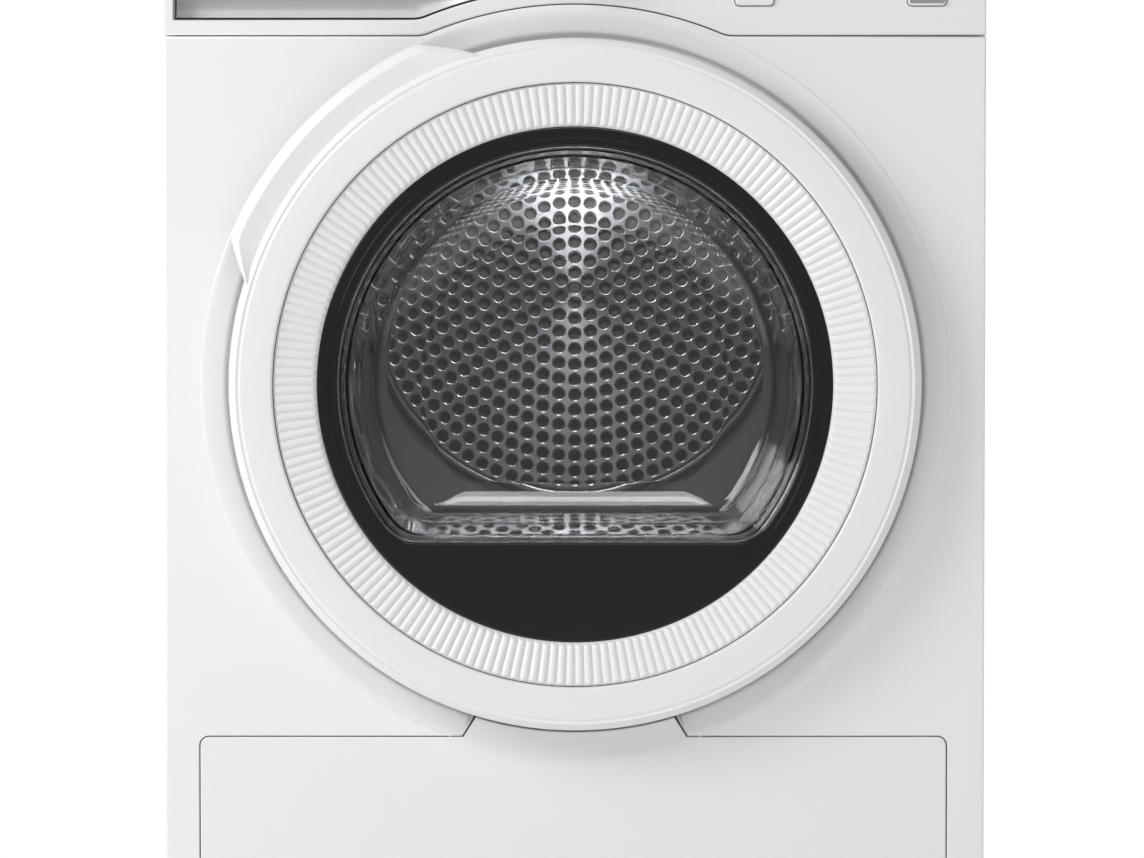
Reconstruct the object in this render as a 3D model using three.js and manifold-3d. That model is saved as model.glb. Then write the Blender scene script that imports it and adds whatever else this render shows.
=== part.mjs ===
// A front-loading clothes dryer of the 60 cm class with a round porthole door.
// Millimetres, +Z up. The front looks towards -Y and the right side is +X.
// The origin is on the floor under the middle of the machine.
import * as THREE from 'three';
import { mergeVertices } from 'three/addons/utils/BufferGeometryUtils.js';
import Module from 'manifold-3d';

const wasm = await Module();
wasm.setup();

// ---- Driving dimensions: the whole machine ----
const WIDTH = 596;
const HEIGHT = 850;
const DEPTH = 640; // door face to rear duct cover
const DOOR_PROUD = 38; // door face in front of the front panel
const REAR_COVER_PROUD = 20; // rear duct cover behind the rear panel
const FOOT_HEIGHT = 18;
const WORKTOP_THICKNESS = 28;
const CONSOLE_HEIGHT = 99;
const SHEET = 2; // steel sheet with its enamel
const MOULDING = 2.5; // wall of the plastic mouldings
const RETURN = 16; // depth of the folded edges of the front pieces
const SIDE_FOLD = 5; // inward fold at the front of each side panel
const GAP = 0.3; // between pieces that touch
const SEAM = 1.2; // between pieces that show a joint line
const RUN = 2; // clearance round pieces that slide or swing

// ---- Levels and planes that the pieces share ----
const HALF_WIDTH = WIDTH / 2;
const FRONT_Y = -DEPTH / 2 + DOOR_PROUD;
const REAR_Y = DEPTH / 2 - REAR_COVER_PROUD;
const WORKTOP_Z = HEIGHT - WORKTOP_THICKNESS;
const CONSOLE_Z = WORKTOP_Z - CONSOLE_HEIGHT;
const SIDE_FRONT_Y = FRONT_Y + RETURN + GAP;
const SIDE_INSIDE = HALF_WIDTH - SHEET;

// ---- Door ----
const DOOR_DROP = 253; // door centre below the console seam
const DOOR_Z = CONSOLE_Z - DOOR_DROP;
const DOOR_FACE_Y = -DEPTH / 2;
const DOOR_R = 249.75;
const DOOR_WALL = 3.2;
const DOOR_BACK_Y = FRONT_Y + 5;
const RIB_BAND_OUTER_R = 217;
const RIB_BAND_INNER_R = 188;
const WINDOW_R = 172;
const WINDOW_CHORD_Z = -114; // flat lower edge of the window, below the door centre
const GRIP_R = 270.5; // handle lip of the door ring
const GRIP_ROOT = [106.5, 162.7]; // degrees, where the lip leaves the ring
const GRIP_TIP = [115.2, 156.3]; // degrees, its outer edge
const GRIP_THICKNESS = 14;
const HINGE_X = 244;
const HINGE_Y = DOOR_FACE_Y + 18;
const HINGE_PIN_R = 2.5;
const HINGE_KNUCKLE_R = 5;
const HINGE_KNUCKLE_HALF = 11.5;
const HINGE_LUG = 4;
const LATCH_X = -214.5;
const LATCH_HOOK_HALF = 2.5;

const DOOR_SIDES = 48; // facets round the door and its dish

// ---- Front panel ----
const ARCH_R = 276; // console seam over the door
const DISH_OUTER_R = 272;
const DISH_INNER_R = 254.5;
const DISH_DEPTH = 7.5;
const LOADING_R = 192;
const THROAT_Y = FRONT_Y + 20;
const THROAT_BEND = 4;
const DISH_SHOULDER = 9; // from the rim of the dish to its bend
const DISH_SHOULDER_DEPTH = 3;
const PLINTH_LEFT = 25.4; // front panel strip left of the plinth cover
const PLINTH_RIGHT = 28;
const PLINTH_TOP_DROP = 258; // plinth cover's top edge below the door centre
const PLINTH_BOTTOM_Z = 35;
const PLINTH_TAB_TOP = 72; // half widths of the tab under the door
const PLINTH_TAB_BASE = 81;
const PLINTH_CORNER_R = 6;
const PLINTH_DEPTH = 14;

// ---- Drum and what carries it ----
const DRUM_R = 283;
const DRUM_RISE = 60; // drum axis above the door centre
const DRUM_Z = DOOR_Z + DRUM_RISE;
const DRUM_SHEET = 1.5;
const BULKHEAD_Y = FRONT_Y + 38;
const BULKHEAD_THICKNESS = 4;
const DRUM_FRONT_Y = BULKHEAD_Y + BULKHEAD_THICKNESS + 6;
const DRUM_BACK_Y = REAR_Y - 34;
const DRUM_LIP = 21; // width of the drum's front lip
const DRUM_LIP_R = DRUM_R - DRUM_LIP;
const DRUM_SIDES = 48; // facets round the drum, the same on every piece of it
const BACKPLATE_R = 172; // perforated disc of the drum's rear wall
const BACKPLATE_STEP = 12;
const LIFTER_HEIGHT = 48;
const LIFTER_BASE = 48;
const LIFTER_TIP = 18;
const LIFTER_COUNT = 3;
const SHAFT_R = 10;
const BEARING_R = 32;
const ROLLER_R = 22;
const ROLLER_WIDTH = 18;
const ROLLER_AXLE_R = 4;
const ROLLER_ANGLE = 35; // degrees either side of the drum's lowest point

// ---- Drive ----
const MOTOR_X = 130;
const MOTOR_Z = 150;
const MOTOR_R = 52;
const MOTOR_FRONT_Y = -150;
const MOTOR_LENGTH = 106;
const MOTOR_SHAFT_R = 6;
const MOTOR_BEVEL = 14;
const PULLEY_R = 14;
const PULLEY_WIDTH = 16;
const BELT_THICKNESS = 2.5;
const BELT_WIDTH = 12;
const IDLER_R = 16;
const IDLER_ALONG = 0.8; // how far along the slack run the idler presses
const IDLER_AXLE_R = 4;
const IDLER_PIVOT_DROP = 46;
const FAN_R = 60;
const FAN_WIDTH = 22;
const FAN_SHELL = 3;

// ---- Base, heat pump and service parts ----
const BASE_HEIGHT = 60;
const BASE_FLOOR = 8;
const BASE_WALL = 6;
const COMPRESSOR_R = 70;
const COMPRESSOR_HEIGHT = 170;
const COMPRESSOR_PLACE = [150, 100];
const COIL_LEFT = 36; // heat exchangers from the left side
const COIL_WIDTH = 180;
const COIL_HEIGHT = 130;
const COIL_LENGTH = 120;
const COIL_FINS = 9;
const COIL_FIN_DEPTH = 90;
const FOOT_R = 22;
const FOOT_STEM_R = 8;
const FOOT_PAD = 8;
const FOOT_INSET = 48;

// ---- Console and water tank ----
const LIP_HEIGHT = 12; // console strip below the tank drawer
const DRAWER_RIGHT = -48;
const DRAWER_TOP_GAP = 6;
const DRAWER_FACE_BOTTOM = 29; // lower edge of the drawer face above the seam
const SCOOP_DEPTH = 18;
const SCOOP_RISE = 24; // hollow behind the drawer face
const TANK_ANGLE = 25.25; // degrees from the top of the drum to the tank's inner side
const TANK_SIDE = 10; // tank from the outside of the left side panel
const TANK_FLOOR = 19; // tank underside above the seam
const TANK_LENGTH = 450;
const TANK_WALL = 2;
const TANK_OVER_DRUM = 10;
const TANK_RIGHT = -(DRUM_R + TANK_OVER_DRUM) * Math.sin((TANK_ANGLE * Math.PI) / 180);
const GUIDE_WALL = 2;
const KNOB_R = 25;
const KNOB_RISE = 62; // above the seam
const KNOB_PROUD = 24;
const KNOB_SHAFT_R = 4;
const BUTTON_WIDTH = 28;
const BUTTON_HEIGHT = 14;
const BUTTON_RISE = 28;
const BUTTON_PROUD = 2.5;
const POWER_X = 130;
const START_X = 255;
const DISPLAY = { left: 100, right: 280, bottom: 45, top: 83 }; // above the seam

// ---- Lint filter ----
const FILTER_WIDTH = 180;
const FILTER_DEPTH = 12;
const FILTER_HEIGHT = 64;

// ---- Facets round turned pieces ----
const COARSE_SIDES = 12;
const SMALL_SIDES = 16;
const MOTOR_SIDES = 20;
const ROUND_SIDES = 24;
const DUCT_COVER_SIDES = 36;

// ---- Shape helpers ----
const degrees = Math.PI / 180;
const point = (x, y) => new THREE.Vector2(x, y);

/** Points of an arc in a plane, from one angle to another in degrees. */
function arc(cx, cy, radius, from, to, steps) {
  return Array.from({ length: steps + 1 }, (_, i) => {
    const angle = (from + ((to - from) * i) / steps) * degrees;
    return point(cx + radius * Math.cos(angle), cy + radius * Math.sin(angle));
  });
}

/** Closed outline of a circle with the given number of sides. */
const circle = (cx, cy, radius, sides) => arc(cx, cy, radius, 0, 360 - 360 / sides, sides - 1);

/** Closed outline of a rectangle with round corners. */
function roundedRect(left, bottom, right, top, radius, steps = 3) {
  return [
    ...arc(right - radius, bottom + radius, radius, -90, 0, steps),
    ...arc(right - radius, top - radius, radius, 0, 90, steps),
    ...arc(left + radius, top - radius, radius, 90, 180, steps),
    ...arc(left + radius, bottom + radius, radius, 180, 270, steps),
  ];
}

const extrude = (outline, depth, holes = []) => {
  const shape = new THREE.Shape(outline);
  shape.holes = holes.map((hole) => new THREE.Path(hole));
  return new THREE.ExtrudeGeometry(shape, { depth, bevelEnabled: false });
};

/** An outline in X and Z, filled from the plane y = front to y = back. */
function slabY(outline, front, back, holes = []) {
  return extrude(outline, back - front, holes).rotateX(Math.PI / 2).translate(0, back, 0);
}

/** An outline in X and Y, filled from z = bottom to z = top. */
const slabZ = (outline, bottom, top) => extrude(outline, top - bottom).translate(0, 0, bottom);

/** An outline in Y and Z, filled from x = left to x = right. */
function slabX(outline, left, right) {
  const turn = new THREE.Matrix4().makeBasis(
    new THREE.Vector3(0, 1, 0),
    new THREE.Vector3(0, 0, 1),
    new THREE.Vector3(1, 0, 0),
  );
  return extrude(outline, right - left).applyMatrix4(turn).translate(left, 0, 0);
}

function box(left, right, front, back, bottom, top) {
  const geometry = new THREE.BoxGeometry(right - left, back - front, top - bottom);
  return geometry.translate((left + right) / 2, (front + back) / 2, (bottom + top) / 2);
}

/** A round bar along Y through (x, z). */
function barY(radius, x, z, front, back, sides = 24) {
  const geometry = new THREE.CylinderGeometry(radius, radius, back - front, sides);
  return geometry.translate(x, (front + back) / 2, z);
}

/** A round bar along Z through (x, y). */
function barZ(radius, x, y, bottom, top, sides = 16) {
  const geometry = new THREE.CylinderGeometry(radius, radius, top - bottom, sides).rotateX(Math.PI / 2);
  return geometry.translate(x, y, (bottom + top) / 2);
}

/** A profile of [radius, y] pairs turned about Y. It closes on itself, or starts and ends on the axis. */
function turned(profile, sides) {
  const points = profile.map(([radius, y]) => point(radius, y));
  if (THREE.ShapeUtils.area(points) < 0) points.reverse();
  const onAxis = points.some((each) => each.x === 0);
  if (onAxis) {
    while (points[0].x !== 0 || points[points.length - 1].x !== 0) points.push(points.shift());
  } else points.push(points[0].clone());
  return new THREE.LatheGeometry(points, sides);
}

function toSolid(geometry) {
  const bare = geometry.clone();
  bare.deleteAttribute('normal');
  bare.deleteAttribute('uv');
  const merged = mergeVertices(bare, 1e-4);
  return new wasm.Manifold(
    new wasm.Mesh({
      numProp: 3,
      vertProperties: new Float32Array(merged.attributes.position.array),
      triVerts: new Uint32Array(merged.index.array),
    }),
  );
}

function toGeometry(solid) {
  const mesh = solid.getMesh();
  const geometry = new THREE.BufferGeometry();
  geometry.setAttribute('position', new THREE.BufferAttribute(mesh.vertProperties, 3));
  geometry.setIndex(new THREE.BufferAttribute(mesh.triVerts, 1));
  return geometry;
}

const cut = (body, ...tools) =>
  toGeometry(tools.reduce((rest, tool) => rest.subtract(toSolid(tool)), toSolid(body)));
const join = (body, ...more) =>
  toGeometry(more.reduce((sum, piece) => sum.add(toSolid(piece)), toSolid(body)));
const common = (body, other) => toGeometry(toSolid(body).intersect(toSolid(other)));

// ---- Materials ----
const material = (color, roughness, metalness = 0) => () =>
  new THREE.MeshStandardMaterial({ color, roughness, metalness });
const whiteEnamel = material('#f3f3f3', 0.28);
const whitePlastic = material('#efefef', 0.35);
const blackPlastic = material('#1c1c1d', 0.25);
const darkPlastic = material('#3a3c40', 0.6);
const greyPlastic = material('#8d9094', 0.55);
const bluePlastic = material('#b9c3cb', 0.4);
const rubber = material('#2a2a2b', 0.85);
const felt = material('#8f8b84', 0.95);
const glass = material('#cfd6d8', 0.05);
const stainless = material('#c9cacc', 0.25, 1);
const zincSteel = material('#b4b7ba', 0.42, 0.9);
const aluminium = material('#d2d4d6', 0.4, 0.95);
const blackSteel = material('#222326', 0.5, 0.3);
const circuitBoard = material('#2f6b45', 0.5);

const dryer = new THREE.Group();
function add(name, geometry, makeMaterial, parent = dryer) {
  const mesh = new THREE.Mesh(geometry, makeMaterial());
  mesh.name = name;
  parent.add(mesh);
  return mesh;
}

// ---- Outlines that neighbouring pieces share ----

/** Lower edge of the console, left to right: flat, an arch over the door, flat. `offset` moves it up. */
function consoleSeam(offset, left, right) {
  const radius = ARCH_R + offset;
  const meet = Math.acos((CONSOLE_Z + offset - DOOR_Z) / radius) / degrees;
  return [
    point(left, CONSOLE_Z + offset),
    ...arc(0, DOOR_Z, radius, 90 + meet, 90 - meet, 20),
    point(right, CONSOLE_Z + offset),
  ];
}

/** Plinth cover seen from the front. `grow` widens it, for the hole that it fits. */
function plinthOutline(grow) {
  const left = -HALF_WIDTH + PLINTH_LEFT - grow;
  const right = HALF_WIDTH - PLINTH_RIGHT + grow;
  const top = DOOR_Z - PLINTH_TOP_DROP + grow;
  const bottom = PLINTH_BOTTOM_Z - grow;
  const corner = PLINTH_CORNER_R + grow;
  const radius = DISH_INNER_R - grow;
  const half = Math.asin((PLINTH_TAB_TOP + grow) / radius) / degrees;
  return [
    ...arc(left + corner, bottom + corner, corner, 180, 270, 3),
    ...arc(right - corner, bottom + corner, corner, -90, 0, 3),
    ...arc(right - corner, top - corner, corner, 0, 90, 3),
    point(PLINTH_TAB_BASE + grow, top),
    ...arc(0, DOOR_Z, radius, -90 + half, -90 - half, 14),
    point(-PLINTH_TAB_BASE - grow, top),
    ...arc(left + corner, top - corner, corner, 90, 180, 3),
  ];
}

/** Tank drawer's front seen from the front, following the console seam. */
function drawerOutline(grow) {
  const left = -HALF_WIDTH + SHEET + LIP_HEIGHT / 2 - grow;
  const right = DRAWER_RIGHT + grow;
  const top = WORKTOP_Z - DRAWER_TOP_GAP + grow;
  const lower = consoleSeam(LIP_HEIGHT - grow, left, HALF_WIDTH).filter((each) => each.x < right);
  const radius = ARCH_R + LIP_HEIGHT - grow;
  const end = point(right, DOOR_Z + Math.sqrt(radius ** 2 - right ** 2));
  return [...lower, end, point(right, top), point(left, top)];
}

/** Section of the water tank: flat floor, then a side that follows the drum. `grow` widens it. */
function tankOutline(grow) {
  const left = -HALF_WIDTH + TANK_SIDE - grow;
  const right = TANK_RIGHT + grow;
  const top = WORKTOP_Z - DRAWER_TOP_GAP + grow;
  const floor = CONSOLE_Z + TANK_FLOOR - grow;
  const radius = DRUM_R + TANK_OVER_DRUM - grow;
  const from = 180 - Math.asin((floor - DRUM_Z) / radius) / degrees;
  const to = Math.acos(right / radius) / degrees;
  return [point(left, floor), ...arc(0, DRUM_Z, radius, from, to, 8), point(right, top), point(left, top)];
}

/** Section of the window: a circle with a flat lower edge. */
function windowOutline(radius, chord) {
  const low = Math.asin(chord / radius) / degrees;
  return arc(0, 0, radius, low, 180 - low, 36);
}

/** A pan: an outline with a face of the given wall and edges folded back. */
const pan = (outline, inner, wall, depth) =>
  cut(slabY(outline, FRONT_Y, FRONT_Y + depth), slabY(inner, FRONT_Y + wall, FRONT_Y + depth + 1));

// ---- Cabinet ----
function sidePanel(side) {
  const outer = side * HALF_WIDTH;
  const inner = side * SIDE_INSIDE;
  const fold = side * (SIDE_INSIDE - SIDE_FOLD);
  const plan = [
    [outer, SIDE_FRONT_Y],
    [outer, REAR_Y],
    [inner, REAR_Y],
    [inner, SIDE_FRONT_Y + SHEET],
    [fold, SIDE_FRONT_Y + SHEET],
    [fold, SIDE_FRONT_Y],
  ].map(([x, y]) => point(x, y));
  return slabZ(plan, FOOT_HEIGHT + GAP, WORKTOP_Z - GAP);
}
add('left_side_panel', sidePanel(-1), whiteEnamel);
add('right_side_panel', sidePanel(1), whiteEnamel);

const BASE_TOP = FOOT_HEIGHT + BASE_HEIGHT;
const BASE_INSIDE_Z = FOOT_HEIGHT + BASE_FLOOR + GAP;
const BASE_HALF = SIDE_INSIDE - RUN;
const BASE_FRONT = FRONT_Y + RETURN + SHEET + RUN;
const BASE_BACK = REAR_Y - SHEET - RUN;
add(
  'base_tray',
  cut(
    box(-BASE_HALF, BASE_HALF, BASE_FRONT, BASE_BACK, FOOT_HEIGHT, BASE_TOP),
    box(
      -BASE_HALF + BASE_WALL,
      BASE_HALF - BASE_WALL,
      BASE_FRONT + BASE_WALL,
      BASE_BACK - BASE_WALL,
      FOOT_HEIGHT + BASE_FLOOR,
      BASE_TOP + 1,
    ),
  ),
  darkPlastic,
);

const REAR_HALF = SIDE_INSIDE - GAP;
const DUCT_HOLE_R = 28;
const DUCT_CIRCLE_R = 150;
const DUCT_HOLES = 8;
const LOUVRE_COUNT = 7;
const LOUVRE = { left: 150, right: 250, bottom: 110, height: 6, pitch: 15 };
const ductHoles = Array.from({ length: DUCT_HOLES }, (_, i) => {
  const angle = (i * 2 * Math.PI) / DUCT_HOLES;
  const across = DUCT_CIRCLE_R * Math.cos(angle);
  const up = DUCT_CIRCLE_R * Math.sin(angle);
  return circle(across, DRUM_Z + up, DUCT_HOLE_R, COARSE_SIDES);
});
const louvres = Array.from({ length: LOUVRE_COUNT }, (_, i) => {
  const bottom = LOUVRE.bottom + i * LOUVRE.pitch;
  return [
    point(LOUVRE.left, bottom),
    point(LOUVRE.right, bottom),
    point(LOUVRE.right, bottom + LOUVRE.height),
    point(LOUVRE.left, bottom + LOUVRE.height),
  ];
});
const rearOutline = [
  point(-REAR_HALF, FOOT_HEIGHT + GAP),
  point(REAR_HALF, FOOT_HEIGHT + GAP),
  point(REAR_HALF, WORKTOP_Z - GAP),
  point(-REAR_HALF, WORKTOP_Z - GAP),
];
const shaftHole = circle(0, DRUM_Z, SHAFT_R + RUN, SMALL_SIDES);
const rearHoles = [shaftHole, ...ductHoles, ...louvres];
add('rear_panel', slabY(rearOutline, REAR_Y - SHEET, REAR_Y, rearHoles), zincSteel);

const REAR_COVER_R = 250;
const REAR_COVER_RIM = 5;
const REAR_COVER_SLOPE = 20;
const coverBack = REAR_Y + REAR_COVER_PROUD;
add(
  'rear_duct_cover',
  turned([
    [0, coverBack],
    [REAR_COVER_R - REAR_COVER_SLOPE, coverBack],
    [REAR_COVER_R - REAR_COVER_RIM, REAR_Y + SHEET + GAP],
    [REAR_COVER_R, REAR_Y + SHEET + GAP],
    [REAR_COVER_R, REAR_Y + GAP],
    [REAR_COVER_R - REAR_COVER_RIM - SHEET, REAR_Y + GAP],
    [REAR_COVER_R - REAR_COVER_SLOPE - SHEET, coverBack - SHEET],
    [0, coverBack - SHEET],
  ], DUCT_COVER_SIDES).translate(0, 0, DRUM_Z),
  zincSteel,
);

const WORKTOP_CORNER_R = 5;
const topPlan = roundedRect(-HALF_WIDTH, FRONT_Y, HALF_WIDTH, REAR_Y, WORKTOP_CORNER_R);
add('worktop', slabZ(topPlan, WORKTOP_Z, HEIGHT), whitePlastic);

// ---- Front panel: a pan with a dish round the door, the loading throat and the plinth cover's hole ----
const frontOutline = (inset) => [
  ...consoleSeam(-SEAM - inset, -HALF_WIDTH + inset, HALF_WIDTH - inset),
  point(HALF_WIDTH - inset, FOOT_HEIGHT + GAP + inset),
  point(-HALF_WIDTH + inset, FOOT_HEIGHT + GAP + inset),
];
const LATCH_SLOT = { halfWidth: 7, halfHeight: 10 };
const dishFloor = FRONT_Y + DISH_DEPTH;
const dish = turned([
  [DISH_OUTER_R + 1, FRONT_Y],
  [DISH_OUTER_R - DISH_SHOULDER, FRONT_Y + DISH_SHOULDER_DEPTH],
  [DISH_INNER_R, dishFloor],
  [LOADING_R + THROAT_BEND, dishFloor],
  [LOADING_R, dishFloor + THROAT_BEND],
  [LOADING_R, THROAT_Y],
  [LOADING_R + SHEET, THROAT_Y],
  [LOADING_R + SHEET, dishFloor + THROAT_BEND + SHEET / 2],
  [LOADING_R + THROAT_BEND + SHEET / 2, dishFloor + SHEET],
  [DISH_INNER_R + 1, dishFloor + SHEET],
  [DISH_OUTER_R - DISH_SHOULDER + 1, FRONT_Y + DISH_SHOULDER_DEPTH + SHEET],
  [DISH_OUTER_R + 1, FRONT_Y + SHEET],
], DOOR_SIDES).translate(0, 0, DOOR_Z);
add(
  'front_panel',
  cut(
    join(
      cut(
        pan(frontOutline(0), frontOutline(SHEET), SHEET, RETURN),
        barY(DISH_OUTER_R, 0, DOOR_Z, FRONT_Y - 1, FRONT_Y + SHEET + GAP, DOOR_SIDES),
      ),
      dish,
    ),
    slabY(plinthOutline(SEAM), FRONT_Y - 1, FRONT_Y + RETURN - SHEET),
    box(
      LATCH_X - LATCH_SLOT.halfWidth,
      LATCH_X + LATCH_SLOT.halfWidth,
      dishFloor - 1,
      dishFloor + SHEET + 1,
      DOOR_Z - LATCH_SLOT.halfHeight,
      DOOR_Z + LATCH_SLOT.halfHeight,
    ),
  ),
  whiteEnamel,
);

// ---- Console ----
const DRAWER_LEFT = -HALF_WIDTH + SHEET + LIP_HEIGHT / 2;
const KNOB_Z = CONSOLE_Z + KNOB_RISE;
const BUTTON_Z = CONSOLE_Z + BUTTON_RISE;
const BUTTON_CORNER_R = 3;
const CONSOLE_TOP = WORKTOP_Z - GAP;
const consoleOutline = (inset) => [
  ...consoleSeam(inset, -HALF_WIDTH + inset, HALF_WIDTH - inset),
  point(HALF_WIDTH - inset, CONSOLE_TOP - inset),
  point(-HALF_WIDTH + inset, CONSOLE_TOP - inset),
];
const buttonOutline = (x, grow) =>
  roundedRect(
    x - BUTTON_WIDTH / 2 - grow,
    BUTTON_Z - BUTTON_HEIGHT / 2 - grow,
    x + BUTTON_WIDTH / 2 + grow,
    BUTTON_Z + BUTTON_HEIGHT / 2 + grow,
    BUTTON_CORNER_R + grow,
  );
const displayOutline = (grow) =>
  roundedRect(
    DISPLAY.left - grow,
    CONSOLE_Z + DISPLAY.bottom - grow,
    DISPLAY.right + grow,
    CONSOLE_Z + DISPLAY.top + grow,
    BUTTON_CORNER_R + grow,
  );
const faceCut = (outline) => slabY(outline, FRONT_Y - 1, FRONT_Y + RETURN + 1);
add(
  'console_fascia',
  cut(
    pan(consoleOutline(0), consoleOutline(MOULDING), MOULDING, RETURN),
    faceCut(drawerOutline(SEAM)),
    faceCut(displayOutline(GAP)),
    faceCut(buttonOutline(POWER_X, SEAM / 2)),
    faceCut(buttonOutline(START_X, SEAM / 2)),
    faceCut(circle(0, KNOB_Z, KNOB_SHAFT_R + RUN, ROUND_SIDES)),
  ),
  whitePlastic,
);
const LENS_THICKNESS = 3;
add('display_lens', slabY(displayOutline(0), FRONT_Y, FRONT_Y + LENS_THICKNESS), blackPlastic);

const SWITCH_GAP = 1.5; // button stem to board, the travel of the button
const BOARD_Y = FRONT_Y + RETURN + GAP;
const BOARD_THICKNESS = 1.6;
const BOARD = { left: 60, right: 284, bottom: 20, top: 88 };
add(
  'control_board',
  box(
    BOARD.left,
    BOARD.right,
    BOARD_Y,
    BOARD_Y + BOARD_THICKNESS,
    CONSOLE_Z + BOARD.bottom,
    CONSOLE_Z + BOARD.top,
  ),
  circuitBoard,
);
const HOUSING_DEPTH = 14;
add(
  'board_housing',
  cut(
    box(
      BOARD.left - MOULDING - GAP,
      BOARD.right + MOULDING + GAP,
      BOARD_Y,
      BOARD_Y + HOUSING_DEPTH,
      CONSOLE_Z + BOARD.bottom - MOULDING - GAP,
      CONSOLE_Z + BOARD.top + MOULDING + GAP,
    ),
    box(
      BOARD.left - GAP,
      BOARD.right + GAP,
      BOARD_Y - 1,
      BOARD_Y + HOUSING_DEPTH - MOULDING,
      CONSOLE_Z + BOARD.bottom - GAP,
      CONSOLE_Z + BOARD.top + GAP,
    ),
  ),
  greyPlastic,
);
for (const [name, x] of [['power_button', POWER_X], ['start_button', START_X]]) {
  add(name, slabY(buttonOutline(x, 0), FRONT_Y - BUTTON_PROUD, BOARD_Y - SWITCH_GAP - GAP), whitePlastic);
}

const KNOB_SKIRT_R = KNOB_R + 3;
const knobFace = FRONT_Y - KNOB_PROUD;
const ENCODER_DEPTH = 14;
add(
  'program_knob',
  turned([
    [0, knobFace],
    [KNOB_R - 2, knobFace],
    [KNOB_R, knobFace + 2],
    [KNOB_R, FRONT_Y - 5],
    [KNOB_SKIRT_R, FRONT_Y - 4],
    [KNOB_SKIRT_R, FRONT_Y - 1],
    [KNOB_SHAFT_R, FRONT_Y - 1],
    [KNOB_SHAFT_R, BOARD_Y + 8],
    [0, BOARD_Y + 8],
  ], ROUND_SIDES).translate(0, 0, KNOB_Z),
  stainless,
);
add(
  'knob_encoder',
  cut(
    box(
      -ENCODER_DEPTH,
      ENCODER_DEPTH,
      BOARD_Y,
      BOARD_Y + ENCODER_DEPTH,
      KNOB_Z - ENCODER_DEPTH,
      KNOB_Z + ENCODER_DEPTH,
    ),
    barY(KNOB_SHAFT_R + GAP, 0, KNOB_Z, BOARD_Y - 1, BOARD_Y + 10),
  ),
  darkPlastic,
);

// ---- Water tank drawer ----
const scoopTop = CONSOLE_Z + DRAWER_FACE_BOTTOM;
const drawerSection = [
  [FRONT_Y, scoopTop],
  [FRONT_Y, WORKTOP_Z],
  [FRONT_Y + SCOOP_DEPTH + MOULDING, WORKTOP_Z],
  [FRONT_Y + SCOOP_DEPTH + MOULDING, CONSOLE_Z],
  [FRONT_Y + SCOOP_DEPTH, CONSOLE_Z],
  [FRONT_Y + SCOOP_DEPTH, scoopTop + SCOOP_RISE],
  [FRONT_Y + MOULDING, scoopTop + SCOOP_RISE],
  [FRONT_Y + MOULDING, scoopTop],
].map(([y, z]) => point(y, z));
add(
  'water_tank_front',
  common(
    slabX(drawerSection, DRAWER_LEFT, DRAWER_RIGHT),
    slabY(drawerOutline(0), FRONT_Y - 1, FRONT_Y + SCOOP_DEPTH + MOULDING + 1),
  ),
  whitePlastic,
);
const tankFront = FRONT_Y + SCOOP_DEPTH + MOULDING + GAP;
const tankBack = tankFront + TANK_LENGTH;
const FILLER = { left: 60, right: 90, front: 30, back: 60 }; // filling hole in the tank's top
add(
  'water_tank',
  cut(
    slabY(tankOutline(0), tankFront, tankBack),
    slabY(tankOutline(-TANK_WALL), tankFront + TANK_WALL, tankBack - TANK_WALL),
    box(
      -HALF_WIDTH + FILLER.left,
      -HALF_WIDTH + FILLER.right,
      tankBack - FILLER.back,
      tankBack - FILLER.front,
      WORKTOP_Z - 2 * DRAWER_TOP_GAP,
      WORKTOP_Z,
    ),
  ),
  bluePlastic,
);
const GUIDE_HEIGHT = 40;
const guideTop = CONSOLE_Z + TANK_FLOOR + GUIDE_HEIGHT;
const guideSpace = box(-HALF_WIDTH, TANK_RIGHT + 1, tankFront, tankBack + 5, CONSOLE_Z, guideTop);
add(
  'tank_guide',
  common(
    cut(
      slabY(tankOutline(RUN + GUIDE_WALL), BULKHEAD_Y + BULKHEAD_THICKNESS + GAP, tankBack + 2),
      slabY(tankOutline(RUN), tankFront, tankBack + 5),
    ),
    guideSpace,
  ),
  greyPlastic,
);

// ---- Front bulkhead, filter housing, seals ----
const BULKHEAD_HOLE_R = LOADING_R + 4;
const bulkheadTop = WORKTOP_Z - RUN;
const bulkheadBottom = BASE_TOP + RUN;
const FILTER_WINDOW = { half: 78, drop: 250 }; // drop below the door centre
const filterWindow = [
  point(-FILTER_WINDOW.half, DOOR_Z - FILTER_WINDOW.drop),
  point(FILTER_WINDOW.half, DOOR_Z - FILTER_WINDOW.drop),
  point(FILTER_WINDOW.half, DOOR_Z - LOADING_R - BULKHEAD_THICKNESS * 3),
  point(-FILTER_WINDOW.half, DOOR_Z - LOADING_R - BULKHEAD_THICKNESS * 3),
];
const rollerSpots = [-1, 1].map((side) => ({
  x: side * (DRUM_R + ROLLER_R + GAP) * Math.sin(ROLLER_ANGLE * degrees),
  z: DRUM_Z - (DRUM_R + ROLLER_R + GAP) * Math.cos(ROLLER_ANGLE * degrees),
}));
const rollerFront = DRUM_FRONT_Y + 2;
const rollerBack = rollerFront + ROLLER_WIDTH;
const bulkheadPlate = cut(
  slabY(
    [
      point(-REAR_HALF, bulkheadBottom),
      point(REAR_HALF, bulkheadBottom),
      point(REAR_HALF, bulkheadTop),
      point(-REAR_HALF, bulkheadTop),
    ],
    BULKHEAD_Y,
    BULKHEAD_Y + BULKHEAD_THICKNESS,
    [circle(0, DOOR_Z, BULKHEAD_HOLE_R, DOOR_SIDES)],
  ),
  slabY(tankOutline(RUN), BULKHEAD_Y - 1, BULKHEAD_Y + BULKHEAD_THICKNESS + 1),
  slabY(filterWindow, BULKHEAD_Y - 1, BULKHEAD_Y + BULKHEAD_THICKNESS + 1),
);
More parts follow.
